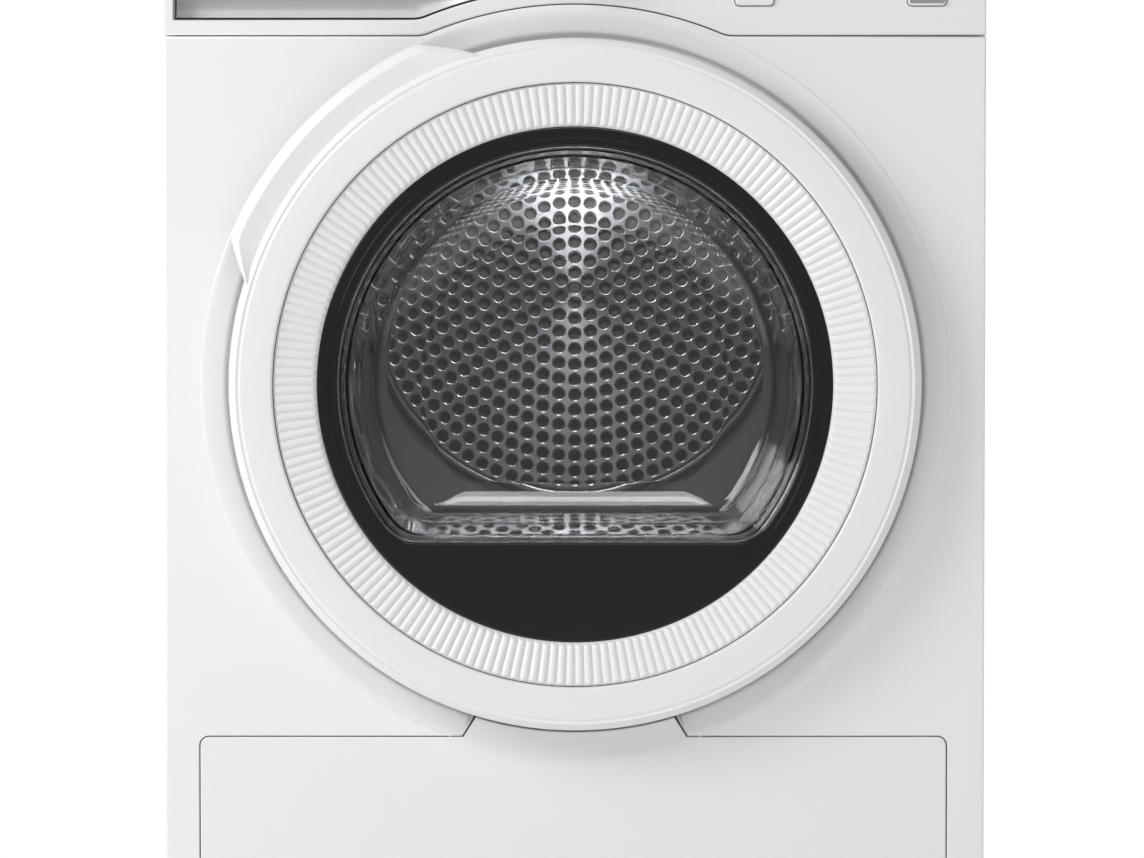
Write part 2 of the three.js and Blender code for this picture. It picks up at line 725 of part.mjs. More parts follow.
add(
  'front_bulkhead',
  join(
    bulkheadPlate,
    ...rollerSpots.map(({ x, z }) =>
      barY(ROLLER_AXLE_R, x, z, BULKHEAD_Y + BULKHEAD_THICKNESS / 2, rollerBack + 2, SMALL_SIDES),
    ),
  ),
  zincSteel,
);
rollerSpots.forEach(({ x, z }, i) => {
  const bore = circle(x, z, ROLLER_AXLE_R + GAP, ROUND_SIDES);
  const rim = circle(x, z, ROLLER_R, ROUND_SIDES);
  add(['front_roller_left', 'front_roller_right'][i], slabY(rim, rollerFront, rollerBack, [bore]), rubber);
});

const FILTER_TOP = DOOR_Z - LOADING_R - 1;
const filterBack = BULKHEAD_Y - RUN;
const filterFront = filterBack - FILTER_DEPTH;
const FILTER_CLEAR = 1;
const FILTER_WALL = 1.4;
const filterHalf = FILTER_WIDTH / 2;
const housingHalf = filterHalf + FILTER_CLEAR + FILTER_WALL;
const filterFloor = FILTER_TOP - FILTER_HEIGHT;
add(
  'filter_housing',
  cut(
    box(
      -housingHalf,
      housingHalf,
      filterFront - FILTER_CLEAR - FILTER_WALL,
      BULKHEAD_Y - GAP,
      filterFloor - FILTER_CLEAR - FILTER_WALL,
      FILTER_TOP - 14,
    ),
    box(
      -filterHalf - FILTER_CLEAR,
      filterHalf + FILTER_CLEAR,
      filterFront - FILTER_CLEAR,
      filterBack + FILTER_CLEAR,
      filterFloor - FILTER_CLEAR,
      FILTER_TOP,
    ),
    box(-FILTER_WINDOW.half, FILTER_WINDOW.half, filterBack, BULKHEAD_Y + 1, filterFloor + 12, FILTER_TOP),
  ),
  greyPlastic,
);
const FILTER_FRAME = 8;
const filterOutline = [
  ...arc(0, DOOR_Z, LOADING_R + 1, -90 - Math.asin(filterHalf / (LOADING_R + 1)) / degrees,
    -90 + Math.asin(filterHalf / (LOADING_R + 1)) / degrees, 10),
  point(filterHalf, filterFloor),
  point(-filterHalf, filterFloor),
].reverse();
const filterPocket = [
  point(-filterHalf + FILTER_FRAME, filterFloor + FILTER_FRAME),
  point(filterHalf - FILTER_FRAME, filterFloor + FILTER_FRAME),
  point(filterHalf - FILTER_FRAME, FILTER_TOP - 3 * FILTER_FRAME),
  point(-filterHalf + FILTER_FRAME, FILTER_TOP - 3 * FILTER_FRAME),
];
add(
  'lint_filter',
  cut(
    slabY(filterOutline, filterFront, filterBack),
    slabY(filterPocket, filterFront + FILTER_WALL, filterBack + 1),
  ),
  greyPlastic,
);

const SEAL_R = [DRUM_LIP_R + 1, DRUM_LIP_R + 14];
add(
  'drum_front_seal',
  turned([
    [SEAL_R[0], BULKHEAD_Y + BULKHEAD_THICKNESS + GAP],
    [SEAL_R[1], BULKHEAD_Y + BULKHEAD_THICKNESS + GAP],
    [SEAL_R[1], DRUM_FRONT_Y - GAP],
    [SEAL_R[0], DRUM_FRONT_Y - GAP],
  ], DRUM_SIDES).translate(0, 0, DRUM_Z),
  felt,
);
const GASKET_WALL = 4;
const GASKET_FLANGE = 7;
add(
  'door_gasket',
  turned([
    [LOADING_R - GAP - GASKET_WALL, THROAT_Y],
    [LOADING_R - GAP, THROAT_Y],
    [LOADING_R - GAP, dishFloor - GAP],
    [LOADING_R + GASKET_FLANGE, dishFloor - GAP],
    [LOADING_R + GASKET_FLANGE, dishFloor - GAP - RUN],
    [LOADING_R - GAP - GASKET_WALL, dishFloor - GAP - RUN],
  ], DOOR_SIDES).translate(0, 0, DOOR_Z),
  rubber,
);

// ---- Door: pieces are modelled round the door's centre line ----
const door = new THREE.Group();
door.position.z = DOOR_Z;
dryer.add(door);

const HINGE_NOTCH = HINGE_KNUCKLE_HALF + HINGE_LUG + RUN;
const hingeNotch = box(
  HINGE_X - HINGE_KNUCKLE_R - RUN,
  DOOR_R + 1,
  HINGE_Y - 2 * HINGE_KNUCKLE_R,
  DOOR_BACK_Y + 1,
  -HINGE_NOTCH,
  HINGE_NOTCH,
);
const ringFace = DOOR_FACE_Y;
const RIM_SET_BACK = 10;
const RING_HEM = 8; // depth of the ring's inner edge
const RING_SHELL = 4;
const rimFront = ringFace + RIM_SET_BACK;
const rimInner = DOOR_R - DOOR_WALL;
const ring = turned([
  [RIB_BAND_OUTER_R, ringFace + RING_HEM],
  [RIB_BAND_OUTER_R, ringFace + 3.5],
  [RIB_BAND_OUTER_R + 1.5, ringFace + 1],
  [RIB_BAND_OUTER_R + 4, ringFace],
  [DOOR_R - 11, ringFace],
  [DOOR_R - 6.8, ringFace + 2],
  [DOOR_R - 1.5, ringFace + 5.5],
  [DOOR_R, rimFront],
  [DOOR_R, DOOR_BACK_Y],
  [rimInner, DOOR_BACK_Y],
  [rimInner, rimFront + 1],
  [DOOR_R - RING_SHELL - 5, ringFace + RING_SHELL],
  [RIB_BAND_OUTER_R + DOOR_WALL, ringFace + RING_SHELL],
  [RIB_BAND_OUTER_R + DOOR_WALL, ringFace + RING_HEM],
], DOOR_SIDES);
const gripOutline = [
  ...arc(0, 0, GRIP_R, GRIP_TIP[0], GRIP_TIP[1], 14),
  ...arc(0, 0, rimInner + 1, GRIP_ROOT[1], GRIP_ROOT[0], SMALL_SIDES),
];
const GRIP_SET_BACK = 5;
const gripFront = ringFace + GRIP_SET_BACK;
add(
  'door_ring',
  cut(join(ring, slabY(gripOutline, gripFront, gripFront + GRIP_THICKNESS)), hingeNotch),
  whitePlastic,
  door,
);
const BAND_SET_BACK = 4;
const BAND_SLOPE = 5; // how much deeper the band is at its inner edge
const BAND_THICKNESS = 4;
const bandFront = ringFace + BAND_SET_BACK;
add(
  'ribbed_ring',
  turned([
    [RIB_BAND_INNER_R, bandFront + BAND_SLOPE],
    [RIB_BAND_OUTER_R - GAP, bandFront],
    [RIB_BAND_OUTER_R - GAP, bandFront + BAND_THICKNESS],
    [RIB_BAND_INNER_R, bandFront + BAND_SLOPE + BAND_THICKNESS],
  ], DOOR_SIDES),
  whitePlastic,
  door,
);
const SURROUND_THICKNESS = 4;
const SURROUND_SET_BACK = 11;
const surroundFront = ringFace + SURROUND_SET_BACK;
const surroundBack = surroundFront + SURROUND_THICKNESS;
add(
  'window_surround',
  slabY(
    circle(0, 0, RIB_BAND_INNER_R - 2 * GAP, DOOR_SIDES),
    surroundFront,
    surroundBack,
    [windowOutline(WINDOW_R, WINDOW_CHORD_Z)],
  ),
  blackPlastic,
  door,
);
const GLASS = 4;
const flangeFront = surroundBack + GAP;
const BOWL_DEPTH = 104;
const BOWL_SHOULDER = 30; // depth of the bowl's first bend behind the flange
const FLANGE_WIDTH = 14;
const BOWL_R = { floor: 126, corner: 148, wall: 158 };
const bowlBack = flangeFront + BOWL_DEPTH;
add(
  'door_glass',
  turned([
    [0, bowlBack],
    [BOWL_R.floor, bowlBack - GLASS],
    [BOWL_R.corner, bowlBack - 3 * GLASS],
    [BOWL_R.wall, bowlBack - 26],
    [WINDOW_R - GLASS, flangeFront + GLASS + BOWL_SHOULDER],
    [WINDOW_R + 3, flangeFront + GLASS],
    [WINDOW_R + FLANGE_WIDTH, flangeFront + GLASS],
    [WINDOW_R + FLANGE_WIDTH, flangeFront],
    [WINDOW_R - 1, flangeFront],
    [WINDOW_R - 2 * GLASS, flangeFront + GLASS + BOWL_SHOULDER],
    [BOWL_R.wall - GLASS, bowlBack - 28],
    [BOWL_R.corner - 2 - GLASS, bowlBack - 15],
    [BOWL_R.floor - 1 - GLASS, bowlBack - 2 * GLASS],
    [0, bowlBack - GLASS],
  ], DOOR_SIDES),
  glass,
  door,
);
const linerFront = flangeFront + GLASS + GAP;
const linerOuter = rimInner - GAP;
const LINER_OVER_WINDOW = 6;
const LINER_RIB_INSET = 3;
add(
  'door_liner',
  cut(
    turned([
      [WINDOW_R + LINER_OVER_WINDOW, linerFront],
      [linerOuter, linerFront],
      [linerOuter, linerFront + MOULDING],
      [linerOuter - LINER_RIB_INSET, linerFront + MOULDING],
      [linerOuter - LINER_RIB_INSET, DOOR_BACK_Y - 2],
      [linerOuter - LINER_RIB_INSET - MOULDING, DOOR_BACK_Y - 2],
      [linerOuter - LINER_RIB_INSET - MOULDING, linerFront + MOULDING],
      [WINDOW_R + LINER_OVER_WINDOW, linerFront + MOULDING],
    ], DOOR_SIDES),
    hingeNotch,
  ),
  greyPlastic,
  door,
);

// The hinge leaf is one steel piece: a plate with a lug above and below the fixed knuckle, joined by the pin.
const lugBottom = HINGE_KNUCKLE_HALF + GAP;
const LEAF_LENGTH = 26;
const leafPlate = 3;
const lugs = [-1, 1].map((side) => {
  const near = side * lugBottom;
  const far = side * (lugBottom + HINGE_LUG);
  return barZ(HINGE_KNUCKLE_R, HINGE_X, HINGE_Y, Math.min(near, far), Math.max(near, far));
});
const leafTop = lugBottom + HINGE_LUG;
const leaf = join(
  box(
    HINGE_X - LEAF_LENGTH,
    HINGE_X - HINGE_KNUCKLE_R - RUN,
    HINGE_Y - leafPlate,
    HINGE_Y,
    -leafTop,
    leafTop,
  ),
  ...[-1, 1].map((side) =>
    box(
      HINGE_X - HINGE_KNUCKLE_R - RUN - 1,
      HINGE_X,
      HINGE_Y - leafPlate,
      HINGE_Y,
      Math.min(side * lugBottom, side * leafTop),
      Math.max(side * lugBottom, side * leafTop),
    ),
  ),
  ...lugs,
  barZ(HINGE_PIN_R, HINGE_X, HINGE_Y, -leafTop, leafTop),
);
add('hinge_leaf', leaf, stainless, door);
const ARM_HALF = 2.5;
const BRACKET_PLATE = 1.9;
const bracketBack = dishFloor - GAP;
add(
  'hinge_bracket',
  cut(
    join(
      barZ(HINGE_KNUCKLE_R, HINGE_X, HINGE_Y, -HINGE_KNUCKLE_HALF, HINGE_KNUCKLE_HALF),
      box(
        HINGE_X - ARM_HALF,
        HINGE_X + ARM_HALF,
        HINGE_Y,
        bracketBack,
        -HINGE_KNUCKLE_HALF,
        HINGE_KNUCKLE_HALF,
      ),
      box(
        HINGE_X - LEAF_LENGTH,
        HINGE_X + HINGE_KNUCKLE_R,
        bracketBack - BRACKET_PLATE,
        bracketBack,
        -leafTop,
        leafTop,
      ),
    ),
    barZ(HINGE_PIN_R + GAP, HINGE_X, HINGE_Y, -HINGE_KNUCKLE_HALF - 1, HINGE_KNUCKLE_HALF + 1),
  ),
  zincSteel,
  door,
);
const hookSection = [
  [DOOR_BACK_Y - 6, -6],
  [DOOR_BACK_Y + 15, -6],
  [DOOR_BACK_Y + 15, 2],
  [DOOR_BACK_Y + 9, 6],
  [DOOR_BACK_Y + 9, 0],
  [DOOR_BACK_Y - 6, 0],
].map(([y, z]) => point(y, z));
add('latch_hook', slabX(hookSection, LATCH_X - LATCH_HOOK_HALF, LATCH_X + LATCH_HOOK_HALF), zincSteel, door);
const CATCH_WALL = 3;
const catchFront = dishFloor + SHEET + GAP;
add(
  'latch_catch',
  cut(
    box(
      LATCH_X - LATCH_SLOT.halfWidth - CATCH_WALL,
      LATCH_X + LATCH_SLOT.halfWidth + CATCH_WALL,
      catchFront,
      BULKHEAD_Y - RUN,
      -LATCH_SLOT.halfHeight - CATCH_WALL,
      LATCH_SLOT.halfHeight + CATCH_WALL,
    ),
    box(
      LATCH_X - LATCH_SLOT.halfWidth,
      LATCH_X + LATCH_SLOT.halfWidth,
      catchFront - 1,
      BULKHEAD_Y - RUN - CATCH_WALL,
      -LATCH_SLOT.halfHeight,
      LATCH_SLOT.halfHeight,
    ),
  ),
  darkPlastic,
  door,
);

// ---- Drum: modelled round its own axis ----
const drum = new THREE.Group();
drum.position.z = DRUM_Z;
dryer.add(drum);

const drumInner = DRUM_R - DRUM_SHEET;
add(
  'drum_shell',
  turned([
    [DRUM_LIP_R, DRUM_FRONT_Y],
    [DRUM_R, DRUM_FRONT_Y],
    [DRUM_R, DRUM_BACK_Y],
    [drumInner, DRUM_BACK_Y],
    [drumInner, DRUM_FRONT_Y + DRUM_SHEET],
    [DRUM_LIP_R, DRUM_FRONT_Y + DRUM_SHEET],
  ], DRUM_SIDES),
  stainless,
  drum,
);
const DRUM_HEM = 5; // shell behind the rear wall
const backFront = DRUM_BACK_Y - DRUM_HEM;
const backRaised = backFront - BACKPLATE_STEP;
add(
  'drum_rear',
  turned([
    [0, backRaised],
    [BACKPLATE_R, backRaised],
    [BACKPLATE_R + 8, backFront],
    [drumInner - GAP, backFront],
    [drumInner - GAP, backFront + RUN],
    [BACKPLATE_R + 8 - DRUM_SHEET, backFront + RUN],
    [BACKPLATE_R - DRUM_SHEET, backRaised + RUN],
    [0, backRaised + RUN],
  ], DRUM_SIDES),
  stainless,
  drum,
);
const drumFlat = drumInner * Math.cos(Math.PI / DRUM_SIDES); // nearest that a facet comes to the axis
const lifterFoot = Math.sqrt(drumFlat ** 2 - (LIFTER_BASE / 2) ** 2) - GAP;
const LIFTER_END_GAP = 18;
const lifterOutline = [
  point(-LIFTER_BASE / 2, -lifterFoot),
  point(LIFTER_BASE / 2, -lifterFoot),
  ...arc(0, LIFTER_HEIGHT - LIFTER_TIP / 2 - lifterFoot, LIFTER_TIP / 2, 0, 180, 6),
];
for (let i = 0; i < LIFTER_COUNT; i += 1) {
  const blade = slabY(lifterOutline, DRUM_FRONT_Y + LIFTER_END_GAP, backFront - LIFTER_END_GAP);
  add(`drum_lifter_${i + 1}`, blade, greyPlastic, drum).rotation.y = (i * 2 * Math.PI) / LIFTER_COUNT;
}
const SHAFT_SET_BACK = 8;
const shaftBack = REAR_Y - SHAFT_SET_BACK;
add('drum_shaft', barY(SHAFT_R, 0, 0, backRaised + RUN + GAP, shaftBack), zincSteel, drum);
const bearingBack = REAR_Y - SHEET - GAP;
add(
  'drum_bearing',
  turned([
    [SHAFT_R + GAP, bearingBack - 22],
    [BEARING_R / 2 + 4, bearingBack - 22],
    [BEARING_R / 2 + 4, bearingBack - 6],
    [BEARING_R, bearingBack - 6],
    [BEARING_R, bearingBack],
    [SHAFT_R + GAP, bearingBack],
  ], SMALL_SIDES),
  zincSteel,
  drum,
);

// ---- Belt drive: the belt is the outer tangent loop of the drum and the motor pulley ----
const pulleySpan = Math.hypot(MOTOR_X, DRUM_Z - MOTOR_Z);
const pulleyHeading = Math.atan2(MOTOR_Z - DRUM_Z, MOTOR_X) / degrees;
const wrap = Math.acos((DRUM_R - PULLEY_R) / pulleySpan) / degrees;
const beltLoop = (grow) => [
  ...arc(0, DRUM_Z, DRUM_R + grow, pulleyHeading + wrap, pulleyHeading + 360 - wrap, 54),
  ...arc(MOTOR_X, MOTOR_Z, PULLEY_R + grow, pulleyHeading - wrap, pulleyHeading + wrap, 6),
];
const motorBack = MOTOR_FRONT_Y + MOTOR_LENGTH;
const PULLEY_OUT = 8; // from the motor to the belt
const beltFront = motorBack + PULLEY_OUT;
const beltOutside = beltLoop(2 * GAP + BELT_THICKNESS);
add('drive_belt', slabY(beltOutside, beltFront, beltFront + BELT_WIDTH, [beltLoop(2 * GAP)]), rubber);

add(
  'motor',
  turned([
    [MOTOR_SHAFT_R + GAP, MOTOR_FRONT_Y],
    [MOTOR_R - MOTOR_BEVEL, MOTOR_FRONT_Y],
    [MOTOR_R, MOTOR_FRONT_Y + MOTOR_BEVEL],
    [MOTOR_R, motorBack - MOTOR_BEVEL],
    [MOTOR_R - MOTOR_BEVEL, motorBack],
    [MOTOR_SHAFT_R + GAP, motorBack],
  ], MOTOR_SIDES).translate(MOTOR_X, 0, MOTOR_Z),
  blackSteel,
);
const pulleyFront = beltFront - (PULLEY_WIDTH - BELT_WIDTH) / 2;
const FAN_OUT = 8; // from the fan to the motor
const fanBack = MOTOR_FRONT_Y - FAN_OUT;
const fanFront = fanBack - FAN_WIDTH;
add(
  'motor_pulley',
  turned([
    [0, fanFront],
    [MOTOR_SHAFT_R, fanFront],
    [MOTOR_SHAFT_R, pulleyFront],
    [PULLEY_R, pulleyFront],
    [PULLEY_R, pulleyFront + PULLEY_WIDTH],
    [0, pulleyFront + PULLEY_WIDTH],
  ], SMALL_SIDES).translate(MOTOR_X, 0, MOTOR_Z),
  zincSteel,
);
const FAN_BLADES = 8;
const FAN_HUB_R = 18;
const FAN_BLADE_THICKNESS = 3;
const blades = Array.from({ length: FAN_BLADES }, (_, i) =>
  box(FAN_HUB_R - 2, FAN_R, fanFront, fanBack - 4, -FAN_BLADE_THICKNESS / 2, FAN_BLADE_THICKNESS / 2).rotateY(
    (i * 2 * Math.PI) / FAN_BLADES,
  ),
);
add(
  'fan_wheel',
  cut(
    join(
      barY(FAN_HUB_R, 0, 0, fanFront, fanBack, SMALL_SIDES),
      barY(FAN_R, 0, 0, fanBack - 4 - GAP, fanBack, ROUND_SIDES),
      ...blades,
    ),
    barY(MOTOR_SHAFT_R + GAP, 0, 0, fanFront - 1, fanBack + 1, SMALL_SIDES),
  ).translate(MOTOR_X, 0, MOTOR_Z),
  greyPlastic,
);
const fanShellR = FAN_R + RUN * 2;
const FAN_INTAKE_R = 36;
add(
  'fan_housing',
  turned([
    [MOTOR_SHAFT_R + RUN, fanBack + RUN],
    [fanShellR, fanBack + RUN],
    [fanShellR, fanFront - RUN],
    [FAN_INTAKE_R, fanFront - RUN],
    [FAN_INTAKE_R, fanFront - RUN - FAN_SHELL],
    [fanShellR + FAN_SHELL, fanFront - RUN - FAN_SHELL],
    [fanShellR + FAN_SHELL, fanBack + RUN + FAN_SHELL],
    [MOTOR_SHAFT_R + RUN, fanBack + RUN + FAN_SHELL],
  ], ROUND_SIDES).translate(MOTOR_X, 0, MOTOR_Z),
  darkPlastic,
);

// The idler presses the slack run from outside. Its centre lies one idler radius off the belt's outer face.
const slackAngle = (pulleyHeading - wrap) * degrees;
const beltOuter = 2 * GAP + BELT_THICKNESS;
const drumTangent = point(Math.cos(slackAngle), Math.sin(slackAngle)).multiplyScalar(DRUM_R + beltOuter);
const pulleyTangent = point(Math.cos(slackAngle), Math.sin(slackAngle)).multiplyScalar(PULLEY_R + beltOuter);
const slackRun = drumTangent
  .add(point(0, DRUM_Z))
  .lerp(pulleyTangent.add(point(MOTOR_X, MOTOR_Z)), IDLER_ALONG);
const intoLoop = point(Math.cos(slackAngle), Math.sin(slackAngle));
const idlerCentre = slackRun.add(intoLoop.multiplyScalar(IDLER_R + GAP));
const idlerBore = circle(idlerCentre.x, idlerCentre.y, IDLER_AXLE_R + GAP, COARSE_SIDES);
const idlerRim = circle(idlerCentre.x, idlerCentre.y, IDLER_R, ROUND_SIDES);
add('idler_pulley', slabY(idlerRim, pulleyFront, pulleyFront + PULLEY_WIDTH, [idlerBore]), darkPlastic);
const ARM_WIDTH = 9;
const ARM_THICKNESS = 4;
const armFront = pulleyFront + PULLEY_WIDTH + GAP;
add(
  'idler_arm',
  join(
    barY(IDLER_AXLE_R, idlerCentre.x, idlerCentre.y, pulleyFront, armFront + ARM_THICKNESS / 2, COARSE_SIDES),
    barY(ARM_WIDTH, idlerCentre.x, idlerCentre.y, armFront, armFront + ARM_THICKNESS, SMALL_SIDES),
    barY(
      ARM_WIDTH,
      idlerCentre.x,
      idlerCentre.y - IDLER_PIVOT_DROP,
      armFront,
      armFront + ARM_THICKNESS,
      SMALL_SIDES,
    ),
    box(
      idlerCentre.x - ARM_WIDTH,
      idlerCentre.x + ARM_WIDTH,
      armFront,
      armFront + ARM_THICKNESS,
      BASE_INSIDE_Z,
      idlerCentre.y,
    ),
  ),
  zincSteel,
);

// ---- Heat pump in the base ----
const compressorTop = BASE_INSIDE_Z + COMPRESSOR_HEIGHT;
add(
  'compressor',
  turned([
    [0, BASE_INSIDE_Z],
    [COMPRESSOR_R, BASE_INSIDE_Z],
    [COMPRESSOR_R, compressorTop - 30],
    [COMPRESSOR_R - 12, compressorTop - 10],
    [COMPRESSOR_R - 36, compressorTop],
    [0, compressorTop],
  ], ROUND_SIDES).rotateX(Math.PI / 2).translate(COMPRESSOR_PLACE[0], COMPRESSOR_PLACE[1], 0),
  blackSteel,
);
const coilLeft = -HALF_WIDTH + COIL_LEFT;
const coilBottom = BASE_TOP + RUN;
const coilTop = coilBottom + COIL_HEIGHT;
const HATCH_SET_BACK = 3.5;
const hatchFront = SIDE_FRONT_Y + HATCH_SET_BACK;
const HATCH_THICKNESS = 8;
const COIL_SET_BACK = 10;
const coilFront = BULKHEAD_Y + BULKHEAD_THICKNESS + COIL_SET_BACK;
const COIL_SPACING = 15;
const finPitch = COIL_WIDTH / (2 * COIL_FINS + 1);
['evaporator', 'condenser'].forEach((name, row) => {
  const front = coilFront + row * (COIL_LENGTH + COIL_SPACING);
  const block = box(coilLeft, coilLeft + COIL_WIDTH, front, front + COIL_LENGTH, coilBottom, coilTop);
  const slots = Array.from({ length: COIL_FINS }, (_, i) => {
    const left = coilLeft + (2 * i + 1) * finPitch;
    const foot = coilTop - COIL_FIN_DEPTH;
    return box(left, left + finPitch, front - 1, front + COIL_LENGTH + 1, foot, coilTop + 1);
  });
  add(name, cut(block, ...slots), aluminium);
});
const HATCH_MARGIN = 4;
const HATCH_UNDER_FILTER = 4.6;
const hatch = {
  left: coilLeft - HATCH_MARGIN,
  right: coilLeft + COIL_WIDTH + HATCH_MARGIN,
  bottom: coilBottom,
  top: filterFloor - FILTER_CLEAR - FILTER_WALL - HATCH_UNDER_FILTER,
};
add(
  'heat_exchanger_cover',
  box(hatch.left, hatch.right, hatchFront, hatchFront + HATCH_THICKNESS, hatch.bottom, hatch.top),
  greyPlastic,
);
const LEVER = { inset: 30, length: 34, width: 12, thickness: 2.6 };
const leverZ = (hatch.bottom + hatch.top) / 2;
[hatch.left + LEVER.inset, hatch.right - LEVER.inset].forEach((x, i) => {
  const outline = [
    ...arc(x, leverZ, LEVER.width / 2, 0, 180, 6),
    point(x - LEVER.width / 2, leverZ - LEVER.length),
    point(x + LEVER.width / 2, leverZ - LEVER.length),
  ];
  const geometry = slabY(outline, hatchFront - GAP - LEVER.thickness, hatchFront - GAP);
  add(['cover_lever_left', 'cover_lever_right'][i], geometry, darkPlastic);
});
add('plinth_cover', pan(plinthOutline(0), plinthOutline(-MOULDING), MOULDING, PLINTH_DEPTH), whitePlastic);

// ---- Feet and cable gland ----
const footSpots = [
  ['foot_front_left', -1, BASE_FRONT + FOOT_INSET],
  ['foot_front_right', 1, BASE_FRONT + FOOT_INSET],
  ['foot_rear_left', -1, BASE_BACK - FOOT_INSET],
  ['foot_rear_right', 1, BASE_BACK - FOOT_INSET],
];
for (const [name, side, y] of footSpots) {
  const foot = turned([
    [0, 0],
    [FOOT_R, 0],
    [FOOT_R, FOOT_PAD - 2],
    [FOOT_R - 4, FOOT_PAD],
    [FOOT_STEM_R, FOOT_PAD],
    [FOOT_STEM_R, FOOT_HEIGHT - GAP],
    [0, FOOT_HEIGHT - GAP],
  ], COARSE_SIDES).rotateX(Math.PI / 2);
  add(name, foot, rubber).position.set(side * (HALF_WIDTH - FOOT_INSET), y, 0);
}
const GLAND = { x: -220, z: 150, radius: 12, bore: 4, length: 14 };
add(
  'cable_gland',
  turned([
    [GLAND.bore, REAR_Y + GAP],
    [GLAND.radius, REAR_Y + GAP],
    [GLAND.radius, REAR_Y + GAP + 4],
    [GLAND.radius - 4, REAR_Y + GLAND.length],
    [GLAND.bore, REAR_Y + GLAND.length],
  ], COARSE_SIDES).translate(GLAND.x, 0, GLAND.z),
  darkPlastic,
);

export default dryer;
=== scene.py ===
"""A front-loading clothes dryer with a round porthole door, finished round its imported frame."""

import math

import bpy
import numpy as np
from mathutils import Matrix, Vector
from mathutils.geometry import tessellate_polygon


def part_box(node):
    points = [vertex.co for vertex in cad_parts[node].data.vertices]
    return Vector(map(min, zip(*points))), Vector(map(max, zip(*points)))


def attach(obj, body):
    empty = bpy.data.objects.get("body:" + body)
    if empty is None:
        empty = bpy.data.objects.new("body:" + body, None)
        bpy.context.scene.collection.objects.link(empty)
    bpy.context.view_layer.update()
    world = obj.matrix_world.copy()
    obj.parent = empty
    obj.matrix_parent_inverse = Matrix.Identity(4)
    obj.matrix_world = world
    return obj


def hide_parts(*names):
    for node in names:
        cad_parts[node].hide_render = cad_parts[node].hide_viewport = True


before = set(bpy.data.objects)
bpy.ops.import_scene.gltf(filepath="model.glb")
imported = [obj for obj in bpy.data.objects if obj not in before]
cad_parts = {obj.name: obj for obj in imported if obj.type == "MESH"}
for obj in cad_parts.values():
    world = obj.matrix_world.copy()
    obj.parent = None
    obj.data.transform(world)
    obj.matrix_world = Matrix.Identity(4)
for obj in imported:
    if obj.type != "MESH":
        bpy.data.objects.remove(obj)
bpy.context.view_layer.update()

# ---- Camera, floor and light ----
# A long lens looks at the front of the machine from 4 m, a little above the window, tilted down 2.5 degrees.
# A pale floor and a soft white room give the light, with one large soft box high on the left.

MM = 0.001
FRAME_WIDTH = 831.5  # mm of the front panel's plane that the frame takes in
CAMERA_DISTANCE = 4000
CAMERA_X = -2.2
CAMERA_Z = 614.0
AIM_Z = 437.0
SENSOR = 36.0


def corners_mm(node):
    """Lowest and highest corner of a frame node, in millimetres."""
    return (np.array(corner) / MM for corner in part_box(node))


def linear(hex_colour):
    """sRGB hex to linear RGBA: below 0.04045 a share of 1/12.92, above it a power of 2.4."""
    value = np.array([int(hex_colour[i : i + 2], 16) for i in (1, 3, 5)]) / 255
    low, high = value / 12.92, ((value + 0.055) / 1.055) ** 2.4
    return (*np.where(value <= 0.04045, low, high), 1.0)


def add(tree, kind, settings=None, sockets=None):
    """Adds a node: settings are its own properties, sockets are values or outputs to link to its inputs."""
    made = tree.nodes.new(kind)
    for key, value in (settings or {}).items():
        setattr(made, key, value)
    for key, value in (sockets or {}).items():
        if isinstance(value, bpy.types.NodeSocket):
            tree.links.new(value, made.inputs[key])
        else:
            made.inputs[key].default_value = value
    return made


panel_low, panel_high = corners_mm("front_panel")
FACE_Y = panel_low[1]
scene = bpy.context.scene
scene.view_settings.view_transform = "Standard"

lens = bpy.data.cameras.new("camera")
lens.sensor_width = SENSOR
lens.lens = SENSOR * math.hypot(CAMERA_DISTANCE, CAMERA_Z - AIM_Z) / FRAME_WIDTH
lens.clip_start, lens.clip_end = 0.1, 100
camera = bpy.data.objects.new("camera", lens)
camera.location = (CAMERA_X * MM, (FACE_Y - CAMERA_DISTANCE) * MM, CAMERA_Z * MM)
camera.rotation_euler = (math.pi / 2 - math.atan2(CAMERA_Z - AIM_Z, CAMERA_DISTANCE), 0, 0)
scene.collection.objects.link(camera)
scene.camera = camera

room = bpy.data.worlds.new("room")
scene.world = room
room.use_nodes = True
room.node_tree.nodes.clear()
direction = add(room.node_tree, "ShaderNodeTexCoord")
parts_of = add(room.node_tree, "ShaderNodeSeparateXYZ", None, {"Vector": direction.outputs["Generated"]})
towards_back = add(
    room.node_tree,
    "ShaderNodeMapRange",
    {"interpolation_type": "SMOOTHSTEP"},
    {"Value": parts_of.outputs["Y"], "From Min": -0.2, "From Max": 0.7, "To Min": 0.42, "To Max": 1.02},
)
background = add(
    room.node_tree,
    "ShaderNodeBackground",
    None,
    {"Color": (1, 1, 1, 1), "Strength": towards_back.outputs["Result"]},
)
add(room.node_tree, "ShaderNodeOutputWorld", None, {"Surface": background.outputs["Background"]})

for name, place, aim, size, watts in (
    ("key_softbox", (-2.0, -1.7, 1.7), (0.0, -0.28, 0.45), (1.2, 1.2), 36),
    ("top_strip", (0.1, -3.4, 2.6), (0.0, 0.2, 0.5), (1.1, 0.5), 12),
):
    light = bpy.data.lights.new(name, "AREA")
    light.shape = "RECTANGLE"
    light.size, light.size_y = size
    light.energy = watts
    lamp = bpy.data.objects.new(name, light)
    lamp.location = place
    lamp.rotation_euler = (Vector(aim) - Vector(place)).to_track_quat("-Z", "Y").to_euler()
    scene.collection.objects.link(lamp)

